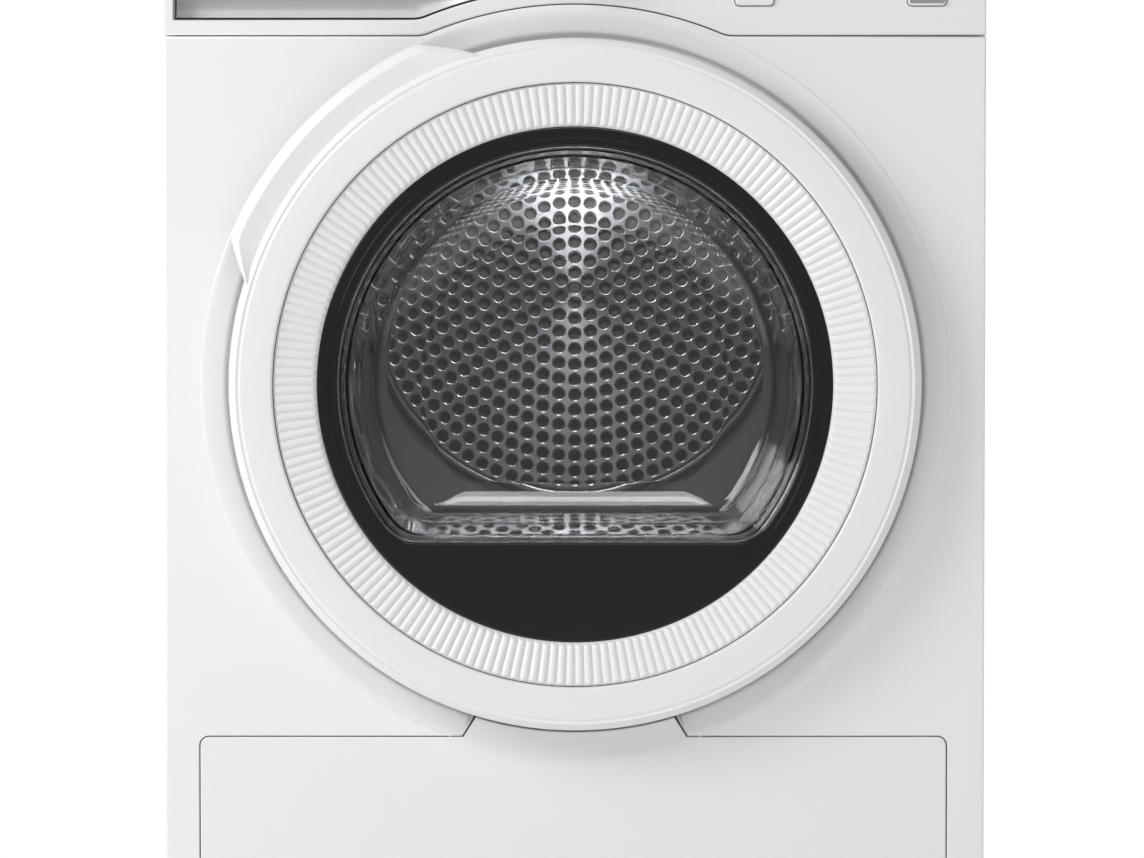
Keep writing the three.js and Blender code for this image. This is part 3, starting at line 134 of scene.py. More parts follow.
FLOOR_X, FLOOR_Y = 2.2, 1.6  # m, half axes of an oval floor that ends out of the main view
FLOOR_BACK = 0.65
FLOOR_SIDES = 96
around = np.linspace(0, 2 * math.pi, FLOOR_SIDES, endpoint=False)
floor_y = FLOOR_BACK - FLOOR_Y + FLOOR_Y * np.sin(around)
floor_rim = np.column_stack([FLOOR_X * np.cos(around), floor_y, np.zeros(FLOOR_SIDES)])
floor_mesh = bpy.data.meshes.new("floor")
floor_mesh.from_pydata(floor_rim.tolist(), [], [tuple(range(FLOOR_SIDES))])
floor = bpy.data.objects.new("floor", floor_mesh)
scene.collection.objects.link(floor)
pale = bpy.data.materials.new("pale_floor")
pale.use_nodes = True
pale.node_tree.nodes.clear()
pale_shader = add(
    pale.node_tree, "ShaderNodeBsdfPrincipled", None, {"Base Color": linear("#fbfbfb"), "Roughness": 0.9}
)
add(pale.node_tree, "ShaderNodeOutputMaterial", None, {"Surface": pale_shader.outputs["BSDF"]})
floor.data.materials.append(pale)

# ---- Enamelled cabinet: front panel, in the enamel that the side panels take too ----
# Deep-drawn steel sheet with a white powder coat: a satin gloss with a faint orange peel.
# The front panel has a dish pressed round the door, a loading throat and a cut-out for the service cover.

SEAM = 1.2
SHEET = 2.0
PRESS_ROUND = 0.9  # edges round the seams
ARCH_FILLET = 25.0
ring_low, ring_high = corners_mm("ribbed_ring")
DOOR_Z = (ring_low[2] + ring_high[2]) / 2
console_low, console_high = corners_mm("console_fascia")
CONSOLE_Z = console_low[2]
ARCH_R = 276.0
DISH_R = 272.0
DISH_FLOOR_R = 254.5
DISH_DEPTH = 7.5
THROAT_R = 192.0
HALF_WIDTH = panel_high[0]


def arc(cx, cz, radius, start, end, count):
    """Points on a circle, from one angle to another in degrees."""
    angle = np.radians(np.linspace(start, end, count))
    return np.column_stack([cx + radius * np.cos(angle), cz + radius * np.sin(angle)])


def make(name, vertices, faces, smooth, body, replaced=(), slot=None):
    """Puts millimetre vertices and faces in a mesh object that rides on a body of the frame."""
    mesh = bpy.data.meshes.new(name)
    mesh.from_pydata((np.asarray(vertices) * MM).tolist(), [], faces)
    mesh.polygons.foreach_set("use_smooth", np.broadcast_to(smooth, len(faces)).astype(bool))
    mesh.update()
    piece = bpy.data.objects.new(name, mesh)
    scene.collection.objects.link(piece)
    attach(piece, body)
    if replaced:
        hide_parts(*replaced)
    return piece


def grid_faces(rows, columns, wrap_rows=False, wrap_columns=False, start=0):
    """Quads of a grid of points, row by row, closed on itself where a wrap is asked for."""
    index = np.arange(rows * columns).reshape(rows, columns) + start
    if wrap_rows:
        index = np.vstack([index, index[:1]])
    if wrap_columns:
        index = np.hstack([index, index[:, :1]])
    quads = np.stack([index[:-1, :-1], index[1:, :-1], index[1:, 1:], index[:-1, 1:]], axis=-1)
    return quads.reshape(-1, 4).tolist()


def inset(loop, distance):
    """A closed loop moved sideways: each point goes along the mean normal of its two sides, mitred.
    A loop that runs anticlockwise shrinks, and one that runs clockwise, such as a hole, grows."""
    ahead = np.roll(loop, -1, axis=0) - loop
    ahead /= np.linalg.norm(ahead, axis=1, keepdims=True)
    behind = np.roll(ahead, 1, axis=0)
    mean = ahead + behind
    mean /= np.linalg.norm(mean, axis=1, keepdims=True)
    mitre = np.clip(np.sum(mean * ahead, axis=1), 0.5, 1)
    left = np.column_stack([-mean[:, 1], mean[:, 0]])
    return loop + left * (distance / mitre)[:, None]


def pressing(name, rims, plane, body, **links):
    """A pressed or moulded plate with its face in the plane y = plane and a rim turned back round each loop.
    Ring k of a rim is its loop inset by the k-th inset and set back by the k-th depth.
    The first rings bound the face and the last ones its back."""
    vertices, faces, first, last, start = [], [], [], [], 0
    for loop, profile in rims:
        for step_inset, depth in profile:
            ring = inset(loop, step_inset)
            vertices.append(np.column_stack([ring[:, 0], np.full(len(ring), plane + depth), ring[:, 1]]))
        faces += grid_faces(len(profile), len(loop), wrap_columns=True, start=start)
        first.append(start + np.arange(len(loop)))
        start += len(profile) * len(loop)
        last.append(start - len(loop) + np.arange(len(loop)))
    smooth = [True] * len(faces)
    points = np.vstack(vertices)
    fill = np.array(tessellate_polygon([[Vector((*points[i, ::2], 0)) for i in ring] for ring in first]))
    a, b, c = (points[np.concatenate(first)[fill[:, i]]][:, ::2] for i in range(3))
    ab, ac = b - a, c - a
    clockwise = ab[:, 0] * ac[:, 1] - ab[:, 1] * ac[:, 0] < 0
    fill[clockwise] = fill[clockwise][:, ::-1]
    faces += np.concatenate(first)[fill].tolist() + np.concatenate(last)[fill[:, ::-1]].tolist()
    smooth += [False] * (2 * len(fill))
    return make(name, points, faces, smooth, body, **links)


def edge(radius, depth, wall=0.0, steps=5):
    """Profile of a plate's rim: a quarter circle of the radius, straight back to the depth, then either
    a second quarter circle on the back, or with a wall the back edge, the inside and the inner face."""
    angle = np.linspace(0, math.pi / 2, steps)
    front = np.column_stack([radius * (1 - np.sin(angle)), radius * (1 - np.cos(angle))])
    if wall:
        return [*map(tuple, front), (0.0, depth), (wall, depth), (wall, wall)]
    back = np.column_stack([front[:, 0], depth - front[:, 1]])[::-1]
    return [*map(tuple, front), *map(tuple, back)]


def console_seam(offset, left, right):
    """Lower edge of the console from left to right: flat, a fillet, an arch over the door, a fillet, flat."""
    radius, flat = ARCH_R + offset, CONSOLE_Z + offset
    fillet = ARCH_FILLET
    centre_x = math.sqrt((radius + fillet) ** 2 - (flat + fillet - DOOR_Z) ** 2)
    meet = math.degrees(math.atan2(flat + fillet - DOOR_Z, centre_x))
    return np.vstack([
        [[left, flat]],
        arc(-centre_x, flat + fillet, fillet, -90, -meet, 8),
        arc(0, DOOR_Z, radius, 180 - meet, meet, 80)[1:-1],
        arc(centre_x, flat + fillet, fillet, 180 + meet, 270, 8),
        [[right, flat]],
    ])


plinth_low, plinth_high = corners_mm("plinth_cover")
PLINTH_CORNER = 6.0
TAB_TOP, TAB_BASE = 72.0, 81.0
PLINTH_TOP = DOOR_Z - 258.0


def plinth_outline(grow):
    """Service cover seen from the front: a rounded rectangle whose tab reaches up to the door's dish."""
    left, right = plinth_low[0] - grow, plinth_high[0] + grow
    bottom, top = plinth_low[2] - grow, PLINTH_TOP + grow
    corner = PLINTH_CORNER + grow
    radius = DISH_FLOOR_R - grow
    half = math.degrees(math.asin((TAB_TOP + grow) / radius))
    return np.vstack([
        arc(left + corner, bottom + corner, corner, 180, 270, 8),
        arc(right - corner, bottom + corner, corner, -90, 0, 8),
        arc(right - corner, top - corner, corner, 0, 90, 8),
        [[TAB_BASE + grow, top]],
        arc(0, DOOR_Z, radius, -90 + half, -90 - half, 40),
        [[-TAB_BASE - grow, top]],
        arc(left + corner, top - corner, corner, 90, 180, 8),
    ])


ENAMEL_ROUGHNESS = 0.3
PEEL = 2.5  # mm across one swell of the orange peel


def white_enamel(name, colour):
    """Powder-coated steel: a satin clear gloss over white, with an orange peel about 2.5 mm across."""
    material = bpy.data.materials.new(name)
    material.use_nodes = True
    tree = material.node_tree
    tree.nodes.clear()
    place = add(tree, "ShaderNodeTexCoord")
    peel = add(tree, "ShaderNodeTexNoise", None,
               {"Vector": place.outputs["Object"], "Scale": 1 / (PEEL * MM), "Detail": 2.0})
    drift = add(tree, "ShaderNodeTexNoise", None,
                {"Vector": place.outputs["Object"], "Scale": 6.0, "Detail": 3.0})
    sheen = add(tree, "ShaderNodeMapRange", None,
                {
        "Value": drift.outputs["Fac"],
        "To Min": ENAMEL_ROUGHNESS - 0.04, "To Max": ENAMEL_ROUGHNESS + 0.04})
    bump = add(tree, "ShaderNodeBump", None,
               {"Height": peel.outputs["Fac"], "Strength": 0.06, "Distance": 0.0004})
    shader = add(tree, "ShaderNodeBsdfPrincipled", None, {
        "Base Color": linear(colour), "Roughness": sheen.outputs["Result"], "IOR": 1.5,
        "Normal": bump.outputs["Normal"], "Coat Weight": 0.15, "Coat Roughness": 0.15})
    add(tree, "ShaderNodeOutputMaterial", None, {"Surface": shader.outputs["BSDF"]})
    return material


enamel = white_enamel("white_enamel", "#f4f4f3")
PANEL_BOTTOM = panel_low[2]
RETURN = panel_high[1] - FACE_Y
seam_top = console_seam(-SEAM, -HALF_WIDTH, HALF_WIDTH)
outer_loop = np.vstack([
    [[-HALF_WIDTH, PANEL_BOTTOM], [HALF_WIDTH, PANEL_BOTTOM]],
    seam_top[::-1],
])
cover_hole = plinth_outline(SEAM)
meets_dish = math.degrees(math.acos((DOOR_Z - PLINTH_TOP - SEAM) / DISH_R))
top_edge = PLINTH_TOP + SEAM
is_tab = (np.abs(cover_hole[:, 0]) < TAB_BASE + 2 * SEAM) & (cover_hole[:, 1] > top_edge - 1)
tab_at = np.flatnonzero(is_tab)
below_tab = np.roll(cover_hole, -tab_at[-1] - 1, axis=0)[: len(cover_hole) - len(tab_at)]
dish_rim = arc(0, DOOR_Z, DISH_R, 270 - meets_dish, -90 + meets_dish, 200)
hole_loop = np.vstack([dish_rim, below_tab[::-1]])
front_panel = pressing(
    "front_panel_skin",
    [(outer_loop, edge(PRESS_ROUND * 2, RETURN, SHEET)), (hole_loop, edge(PRESS_ROUND, SHEET + 6, SHEET))],
    FACE_Y,
    "cabinet",
    replaced=["front_panel"],
    slot="front_panel",
)
front_panel.data.materials.append(enamel)

# ---- Dish and loading throat of the front panel ----
# The same enamelled sheet: a shallow dish pressed round the door and a throat that leads into the drum.
# Its profile is turned round the door's centre and stops short where the service cover's cut-out begins.

DOOR_CENTRE = (0.0, DOOR_Z)
THROAT_DEPTH = 20.0
GROOVE_DEPTH = 14.0  # a channel under the door's rim, which reads as a dark gap round the door
GROOVE_INNER_R = 246.0


def rounded(corners, steps=6):
    """Polyline through (radius, y, round) corners: each corner is cut by a parabola that starts where
    an arc of that round would, and never uses more than half of a side."""
    corners = [tuple(corner) for corner in corners]
    line = [np.array(corners[0][:2], float)]
    share = np.linspace(0, 1, steps)[:, None]
    for before, corner, after in zip(corners, corners[1:], corners[2:]):
        here = np.array(corner[:2], float)
        back, on = np.array(before[:2]) - here, np.array(after[:2]) - here
        back_length, on_length = np.linalg.norm(back), np.linalg.norm(on)
        half = math.acos(np.clip(back @ on / (back_length * on_length), -1, 1)) / 2
        reach = min(corner[2] / math.tan(half), 0.48 * back_length, 0.48 * on_length)
        start, end = here + back / back_length * reach, here + on / on_length * reach
        line += list((1 - share) ** 2 * start + 2 * share * (1 - share) * here + share**2 * end)
    line.append(np.array(corners[-1][:2], float))
    return np.array(line)


def sweep(profile, angles, centre):
    """Grid of a profile's (radius, y) points, turned to each angle about an axis along Y. The profile
    is one for all angles, or has a first axis for the angles."""
    angle = np.radians(angles)[:, None]
    radius, level = profile[..., 0], profile[..., 1] + 0 * angle
    return np.stack([centre[0] + radius * np.cos(angle), level, centre[1] + radius * np.sin(angle)], axis=-1)


def turned(name, profile, body, centre=DOOR_CENTRE, sides=256, closed=True, angles=None, **links):
    """A turned piece, round its axis or over a run of angles. Seen with radius to the right and y up,
    its profile goes clockwise round the solid, so that the normals point out."""
    whole = angles is None
    angles = np.linspace(0, 360, sides, endpoint=False) if whole else angles
    points = sweep(np.asarray(profile), angles, centre)
    rows, columns = points.shape[:2]
    faces = grid_faces(rows, columns, wrap_rows=whole, wrap_columns=closed)
    return make(name, points.reshape(-1, 3), faces, True, body, **links)


dish_profile = rounded([
    (DISH_R + PRESS_ROUND, FACE_Y + 0.02, 0),
    (DISH_R - 3, FACE_Y + 0.4, 12),
    (DISH_FLOOR_R, FACE_Y + DISH_DEPTH - 0.5, 5),
    (DISH_FLOOR_R - 1, FACE_Y + GROOVE_DEPTH, 2),
    (GROOVE_INNER_R, FACE_Y + GROOVE_DEPTH, 2),
    (GROOVE_INNER_R - 1, FACE_Y + DISH_DEPTH, 1),
    (THROAT_R, FACE_Y + DISH_DEPTH, 5),
    (THROAT_R, FACE_Y + THROAT_DEPTH, 0.5),
    (THROAT_R + SHEET, FACE_Y + THROAT_DEPTH, 0.5),
    (THROAT_R + SHEET, FACE_Y + DISH_DEPTH + 6, 0),
], steps=10)
cut_at = DISH_FLOOR_R - SEAM
tab_half = math.degrees(math.asin((TAB_TOP + SEAM) / cut_at))
tab_foot = math.degrees(math.atan2(TAB_BASE + SEAM, DOOR_Z - top_edge))
tab_foot_r = math.hypot(TAB_BASE + SEAM, DOOR_Z - top_edge)
turns = np.unique(np.concatenate([
    np.arange(0, 180, 1.5),
    np.linspace(0, tab_half, 16),
    np.linspace(tab_half, tab_foot, 5),
    np.linspace(tab_foot, meets_dish, 5),
    np.linspace(meets_dish, meets_dish + 0.1, 2),
]))
outer_r = np.interp(turns, [0, tab_half, tab_foot], [cut_at, cut_at, tab_foot_r])
below = (turns > tab_foot) & (turns <= meets_dish)
outer_r = np.where(below, (DOOR_Z - top_edge) / np.cos(np.radians(turns)), outer_r)
outer_r = np.where(turns > meets_dish, DISH_R + PRESS_ROUND, outer_r)
turns = np.concatenate([turns, -turns[:0:-1] % 360])
outer_r = np.concatenate([outer_r, outer_r[:0:-1]])
front_part = dish_profile[:, 0] > 230
reach = np.clip((dish_profile[:, 0] - DISH_FLOOR_R + 14) / (DISH_R + PRESS_ROUND - DISH_FLOOR_R + 14), 0, 1)
dish_r = dish_profile[:, 0] - reach * (DISH_R + PRESS_ROUND - outer_r[:, None])
falling = dish_profile[front_part][::-1]
dish_y = np.where(front_part, np.interp(dish_r, falling[:, 0], falling[:, 1]), dish_profile[:, 1])
rim_of_dish = np.column_stack([outer_r, dish_y[:, 0] + SHEET * 3])[:, None]
dish_grid = np.concatenate([rim_of_dish, np.stack([dish_r, dish_y], axis=-1)], axis=1)
dish = turned("dish_and_throat", dish_grid, "cabinet", angles=turns + 270, closed=False, slot="front_panel")
dish.data.materials.append(enamel)

# ---- Worktop, side panels and service cover ----
# The worktop is a white laminated board with rounded edges, and the side panels stay as the frame's sheets.
# The service cover is a moulded white pan with a tab that follows the door, and covers the heat pump's hatch.


CORNER_STEPS = 5


def corner_box(left, bottom, right, top, radius):
    """Outline of a rectangle with round corners, anticlockwise."""
    return np.vstack([
        arc(right - radius, bottom + radius, radius, -90, 0, CORNER_STEPS),
        arc(right - radius, top - radius, radius, 0, 90, CORNER_STEPS),
        arc(left + radius, top - radius, radius, 90, 180, CORNER_STEPS),
        arc(left + radius, bottom + radius, radius, 180, 270, CORNER_STEPS),
    ])


def plate(name, outline, front, back, radius, body, material, wall=0.0, holes=(), **links):
    """A plate with a rounded front edge, solid or hollow at the back.
    Its holes are clockwise loops, each with an edge radius and a depth."""
    rims = [(outline, edge(radius, back - front, wall))]
    rims += [(loop, edge(hole_radius, depth, wall)) for loop, hole_radius, depth in holes]
    made = pressing(name, rims, front, body, **links)
    made.data.materials.append(material)
    return made


def box_plate(node, material, body, corner, radius):
    """The frame node's own box as a plate with rounded corners and edges, in place of that node."""
    low, high = corners_mm(node)
    outline = corner_box(low[0], low[2], high[0], high[2], corner)
    return plate(node + "_skin", outline, low[1], high[1], radius, body, material, replaced=[node], slot=node)


def moulded(name, colour, roughness=0.35, grain=0.25, relief=0.12, metallic=0.0, patchy=0.02, **extra):
    """Moulded or cast finish: a spark-eroded grain (its size in mm) and a slow drift of the gloss."""
    material = bpy.data.materials.new(name)
    material.use_nodes = True
    tree = material.node_tree
    tree.nodes.clear()
    place = add(tree, "ShaderNodeTexCoord")
    fine = add(tree, "ShaderNodeTexNoise", None,
               {"Vector": place.outputs["Object"], "Scale": 1 / (grain * 2 * MM), "Detail": 2.0})
    drift = add(tree, "ShaderNodeTexNoise", None,
                {"Vector": place.outputs["Object"], "Scale": 1 / (90 * MM), "Detail": 3.0})
    sheen = add(tree, "ShaderNodeMapRange", None,
                {"Value": drift.outputs["Fac"], "To Min": roughness - patchy, "To Max": roughness + patchy})
    bump = add(tree, "ShaderNodeBump", None,
               {"Height": fine.outputs["Fac"], "Strength": relief, "Distance": grain * MM})
    shader = add(tree, "ShaderNodeBsdfPrincipled", None, {
        "Base Color": linear(colour), "Roughness": sheen.outputs["Result"], "Metallic": metallic,
        "Normal": bump.outputs["Normal"], **extra})
    add(tree, "ShaderNodeOutputMaterial", None, {"Surface": shader.outputs["BSDF"]})
    return material


MOULDING_WALL = 2.5
VISIBLE_SEAM = 0.8  # the joint line as it shows, narrower than the seam between the solids
white_moulding = moulded("white_abs_moulding", "#f2f2f1", 0.27, relief=0.04, patchy=0.01)
box_plate("worktop", moulded("white_laminate", "#f1f1f0", 0.38, grain=0.6), "cabinet", 4.0, 3.0)
plate(
    "service_cover", plinth_outline(SEAM - VISIBLE_SEAM), plinth_low[1], plinth_high[1], 1.1,
    "plinth_door", white_moulding, wall=MOULDING_WALL, replaced=["plinth_cover"], slot="plinth_cover",
)

# ---- Door: moulded ring with its grip lip, and the ribbed band ----
# Glossy white ABS mouldings. The ring has a flat face, a fine groove and a bevelled rim; the grip lip grows
# out of it at the upper left. Two hundred rounded ribs stand on a shallow cone inside the ring.

ring_box_low, ring_box_high = corners_mm("door_ring")
DOOR_FACE = ring_box_low[1]
RING_R = 249.75
RING_INNER = 218.0
RING_BACK = ring_box_high[1]
RING_WALL = 3.2
GRIP_ROOT = (106.5, 162.7)  # degrees
GRIP_TIP = (115.2, 156.3)
GRIP_R = 270.5
LIP_INNER_R = 242.6

ring_profile = rounded([
    (RING_INNER, DOOR_FACE + 8, 0),
    (RING_INNER, DOOR_FACE, 2.6),
    (241.0, DOOR_FACE, 1.2),
    (242.4, DOOR_FACE + 0.8, 0.4),
    (243.4, DOOR_FACE + 0.8, 0.4),
    (244.6, DOOR_FACE + 0.2, 0.6),
    (248.2, DOOR_FACE + 3.4, 1.6),
    (RING_R, DOOR_FACE + 6.5, 2.5),
    (RING_R, RING_BACK, 0.8),
    (RING_R - RING_WALL, RING_BACK, 0.8),
    (RING_R - RING_WALL, DOOR_FACE + 8, 3.0),
    (RING_INNER + RING_WALL, DOOR_FACE + 3.6, 3.0),
    (RING_INNER + RING_WALL, DOOR_FACE + 8, 0),
])
door_ring = turned("door_ring_moulding", ring_profile, "door", sides=360,
                   replaced=["door_ring"], slot="door_ring")
door_ring.data.materials.append(white_moulding)

lip_turns = np.linspace(*GRIP_ROOT, 150)
lip_edge = np.interp(
    lip_turns,
    [GRIP_ROOT[0], GRIP_TIP[0] - 0.6, GRIP_TIP[0] + 0.9, GRIP_TIP[1] - 0.9, GRIP_TIP[1] + 0.6, GRIP_ROOT[1]],
    [RING_R - 1, GRIP_R - 1.2, GRIP_R, GRIP_R, GRIP_R - 1.2, RING_R - 1],
)
lip_profile = rounded([
    (LIP_INNER_R, DOOR_FACE + 7.5, 0),
    (244.0, DOOR_FACE + 4.6, 0.8),
    (247.5, DOOR_FACE + 4.4, 2.5),
    (262.5, DOOR_FACE + 1.0, 1.2),
    (264.0, DOOR_FACE + 0.8, 0.8),
    (GRIP_R, DOOR_FACE + 4.5, 2.0),
    (GRIP_R, DOOR_FACE + 19, 1.6),
    (262.0, DOOR_FACE + 19, 4.0),
    (252.0, DOOR_FACE + 13, 4.0),
    (LIP_INNER_R, DOOR_FACE + 13, 0),
])
lip_share = (lip_edge - LIP_INNER_R) / (GRIP_R - LIP_INNER_R)
lip_r = LIP_INNER_R + (lip_profile[:, 0] - LIP_INNER_R) * lip_share[:, None]
lip_y = np.broadcast_to(lip_profile[:, 1], lip_r.shape)
grip_lip = turned("grip_lip", np.stack([lip_r, lip_y], axis=-1), "door", angles=lip_turns, slot="door_ring")
grip_lip.data.materials.append(white_moulding)

RIBS = 200
RIB_STEPS = 12  # columns of the mesh across one rib
BAND_OUTER = RING_INNER - 0.6
BAND_INNER = 186.4
BAND_RISE = 6.5
RIB_HEIGHT = 1.8
band_turns = np.linspace(0, 360, RIBS * RIB_STEPS, endpoint=False)
band_r = np.concatenate([
    np.linspace(BAND_INNER, 190, 6), np.linspace(191, 213.5, 7), np.linspace(214.2, 216.6, 7), [BAND_OUTER],
])
band_y = np.interp(band_r, [BAND_INNER, BAND_INNER + 1, BAND_OUTER],
                   [DOOR_FACE + 11.4, DOOR_FACE + 10.4, DOOR_FACE + 10.4 - BAND_RISE])
across = np.abs(np.sin(np.radians(band_turns) * RIBS / 2)) ** 0.75
into = np.clip((band_r - 187.5) / 3, 0, 1)
out_of = np.clip((216.6 - band_r) / 2.2, 0, 1)
along = np.sqrt(1 - (1 - into) ** 2) * np.sqrt(1 - (1 - out_of) ** 2)
rib_y = band_y[None, :] - RIB_HEIGHT * across[:, None] * along[None, :]
rib_front = np.stack([np.broadcast_to(band_r, rib_y.shape), rib_y], axis=-1)
rib_back = np.broadcast_to(
    np.array([[BAND_OUTER, DOOR_FACE + 8.0], [BAND_INNER, DOOR_FACE + 12.6]]), (len(band_turns), 2, 2)
)
band_grid = np.concatenate([rib_front, rib_back], axis=1)
band_points = sweep(band_grid, band_turns, DOOR_CENTRE)
ribbed_band = make(
    "ribbed_band", band_points.reshape(-1, 3),
    grid_faces(len(band_turns), band_grid.shape[1], wrap_rows=True, wrap_columns=True),
    True, "door", replaced=["ribbed_ring"], slot="ribbed_ring",
)
ribbed_band.data.materials.append(white_moulding)

# ---- Door: black window surround and glass bowl ----
# The surround is gloss black with a flat-bottomed window. The bowl is pressed from 4 mm clear glass with
# the same flat floor, and is clamped by its flange between the surround and the grey liner.

WINDOW_R = 172.0
CHORD = -114.0
CHORD_ROUND = 30.0


def window_loop():
    """Flat-bottomed round window, anticlockwise about the door's centre: circle, chord and two fillets."""
    radius, chord, fillet = WINDOW_R, CHORD, CHORD_ROUND
    centre_x = math.sqrt((radius - fillet) ** 2 - (chord + fillet) ** 2)
    meet = math.degrees(math.atan2(-chord - fillet, centre_x))
    return np.vstack([
        arc(0, 0, radius, -meet, 180 + meet, 160)[:-1],
        arc(-centre_x, chord + fillet, fillet, 180 + meet, 270, 14)[:-1],
        np.column_stack([np.linspace(-centre_x, centre_x, 40), np.full(40, chord)])[:-1],
        arc(centre_x, chord + fillet, fillet, -90, -meet, 14)[:-1],
    ])


gloss_black = moulded("gloss_black_abs", "#0b0b0b", 0.16, grain=0.2, relief=0.03, patchy=0.01)
surround_low, surround_high = corners_mm("window_surround")
to_door = np.array([0.0, DOOR_Z])
plate(
    "window_surround_moulding", arc(0, DOOR_Z, 187.2, 0, 358.5, 240), surround_low[1], surround_high[1], 2.2,
    "door", gloss_black, holes=[(window_loop()[::-1] + to_door, 1.5, surround_high[1] - surround_low[1])],
    replaced=["window_surround"], slot="window_surround",
)
bead_turns = np.linspace(-36, 216, 200)
bead = turned("surround_bead", rounded([
    (176.9, surround_low[1] + 1, 0), (177.2, surround_low[1] - 0.7, 0.4), (178.6, surround_low[1] - 0.7, 0.4),
    (179.0, surround_low[1] + 1, 0),
]), "door", angles=bead_turns, slot="window_surround")
bead.data.materials.append(gloss_black)

glass_low, glass_high = corners_mm("door_glass")
FLANGE = glass_low[1]
BOWL_BACK = glass_high[1]
GLASS = 4.0
bowl_profile = rounded([
    (0.01, BOWL_BACK, 0),
    (120.0, BOWL_BACK - 2, 60),
    (150.0, BOWL_BACK - 8, 16),
    (160.0, BOWL_BACK - 40, 20),
    (168.5, FLANGE + GLASS + 8, 10),
    (172.0, FLANGE + GLASS, 2),
    (WINDOW_R + 14, FLANGE + GLASS, 1),
    (WINDOW_R + 14, FLANGE, 1),
    (170.0, FLANGE, 5),
    (164.4, FLANGE + GLASS + 8, 10),
    (156.0, BOWL_BACK - 42, 20),
    (146.5, BOWL_BACK - 12, 14),
    (119.0, BOWL_BACK - 6, 60),
    (0.01, BOWL_BACK - GLASS, 0),
])
bowl_turns = np.linspace(0, 360, 288, endpoint=False)
window = window_loop()
window_turn = np.degrees(np.arctan2(window[:, 1], window[:, 0])) % 360
order = np.argsort(window_turn)
window_r = np.interp(bowl_turns, window_turn[order], np.hypot(*window[order].T), period=360)
clamped = np.clip((bowl_profile[:, 0] - 173) / 9, 0, 1)
flatten = 1 - (1 - clamped[None, :]) * (1 - window_r[:, None] / WINDOW_R)
bowl_grid = np.stack([bowl_profile[:, 0] * flatten, bowl_profile[:, 1] + 0 * flatten], axis=-1)
bowl_points = sweep(bowl_grid, bowl_turns, DOOR_CENTRE)
bowl = make(
    "glass_bowl", bowl_points.reshape(-1, 3),
    grid_faces(len(bowl_turns), bowl_grid.shape[1], wrap_rows=True),
    True, "door", replaced=["door_glass"], slot="door_glass",
)


def clear_glass(name):
    """Pressed soda-lime glass: clear, with a very slight waviness about 60 mm long."""
    material = bpy.data.materials.new(name)
    material.use_nodes = True
    tree = material.node_tree
    tree.nodes.clear()
    place = add(tree, "ShaderNodeTexCoord")
    wave = add(tree, "ShaderNodeTexNoise", None,
               {"Vector": place.outputs["Object"], "Scale": 1 / (60 * MM), "Detail": 1.0})
    bump = add(tree, "ShaderNodeBump", None,
               {"Height": wave.outputs["Fac"], "Strength": 0.05, "Distance": 0.001})
    shader = add(tree, "ShaderNodeBsdfPrincipled", None, {
        "Base Color": linear("#fbfdfc"), "Roughness": 0.0, "IOR": 1.5, "Transmission Weight": 1.0,
        "Normal": bump.outputs["Normal"]})
    add(tree, "ShaderNodeOutputMaterial", None, {"Surface": shader.outputs["BSDF"]})
    return material


bowl.data.materials.append(clear_glass("pressed_glass"))

# ---- Door: liner and gasket ----
# The back of the door is a grey moulded liner with rounded ribs. The hinge and hook are in the last section.
# A soft rubber lip round the loading throat meets the liner.

grey_moulding = moulded("grey_pp_moulding", "#8d9092", 0.45)
liner_low, liner_high = corners_mm("door_liner")
LINER_R = RING_R - RING_WALL - 0.3
liner = turned("door_liner_moulding", rounded([
    (WINDOW_R + 6, liner_low[1], 0.6),
    (LINER_R, liner_low[1], 0.8),
    (LINER_R, liner_low[1] + 2.5, 0.8),
    (LINER_R - 3, liner_low[1] + 2.5, 1.0),
    (LINER_R - 3, liner_high[1], 1.0),
    (LINER_R - 5.5, liner_high[1], 1.0),
    (LINER_R - 5.5, liner_low[1] + 2.5, 1.5),
    (WINDOW_R + 16, liner_low[1] + 2.5, 2.5),
    (WINDOW_R + 13, liner_low[1] + 5.2, 1.5),
    (WINDOW_R + 8, liner_low[1] + 5.2, 1.5),
    (WINDOW_R + 6, liner_low[1] + 2.5, 1.0),
    (WINDOW_R + 6, liner_low[1], 0),
])[::-1], "door", replaced=["door_liner"], slot="door_liner")
liner.data.materials.append(grey_moulding)

gasket_low, gasket_high = corners_mm("door_gasket")
gasket_outer, gasket_inner = gasket_high[0], THROAT_R - 4.3
rubber = moulded("black_epdm_rubber", "#2a2a2b", 0.6, grain=0.3, relief=0.2)
gasket = turned("door_gasket_lip", rounded([
    (gasket_inner, gasket_low[1], 0),
    (gasket_inner, gasket_high[1], 1.2),
    (THROAT_R - 0.4, gasket_high[1], 0.3),
    (THROAT_R - 0.4, gasket_low[1] + 2.1, 1.5),
    (gasket_outer, gasket_low[1] + 2.0, 0.8),
    (gasket_outer, gasket_low[1], 0.8),
    (gasket_inner, gasket_low[1], 1.2),
])[::-1], "cabinet", replaced=["door_gasket"], slot="door_gasket")
gasket.data.materials.append(rubber)
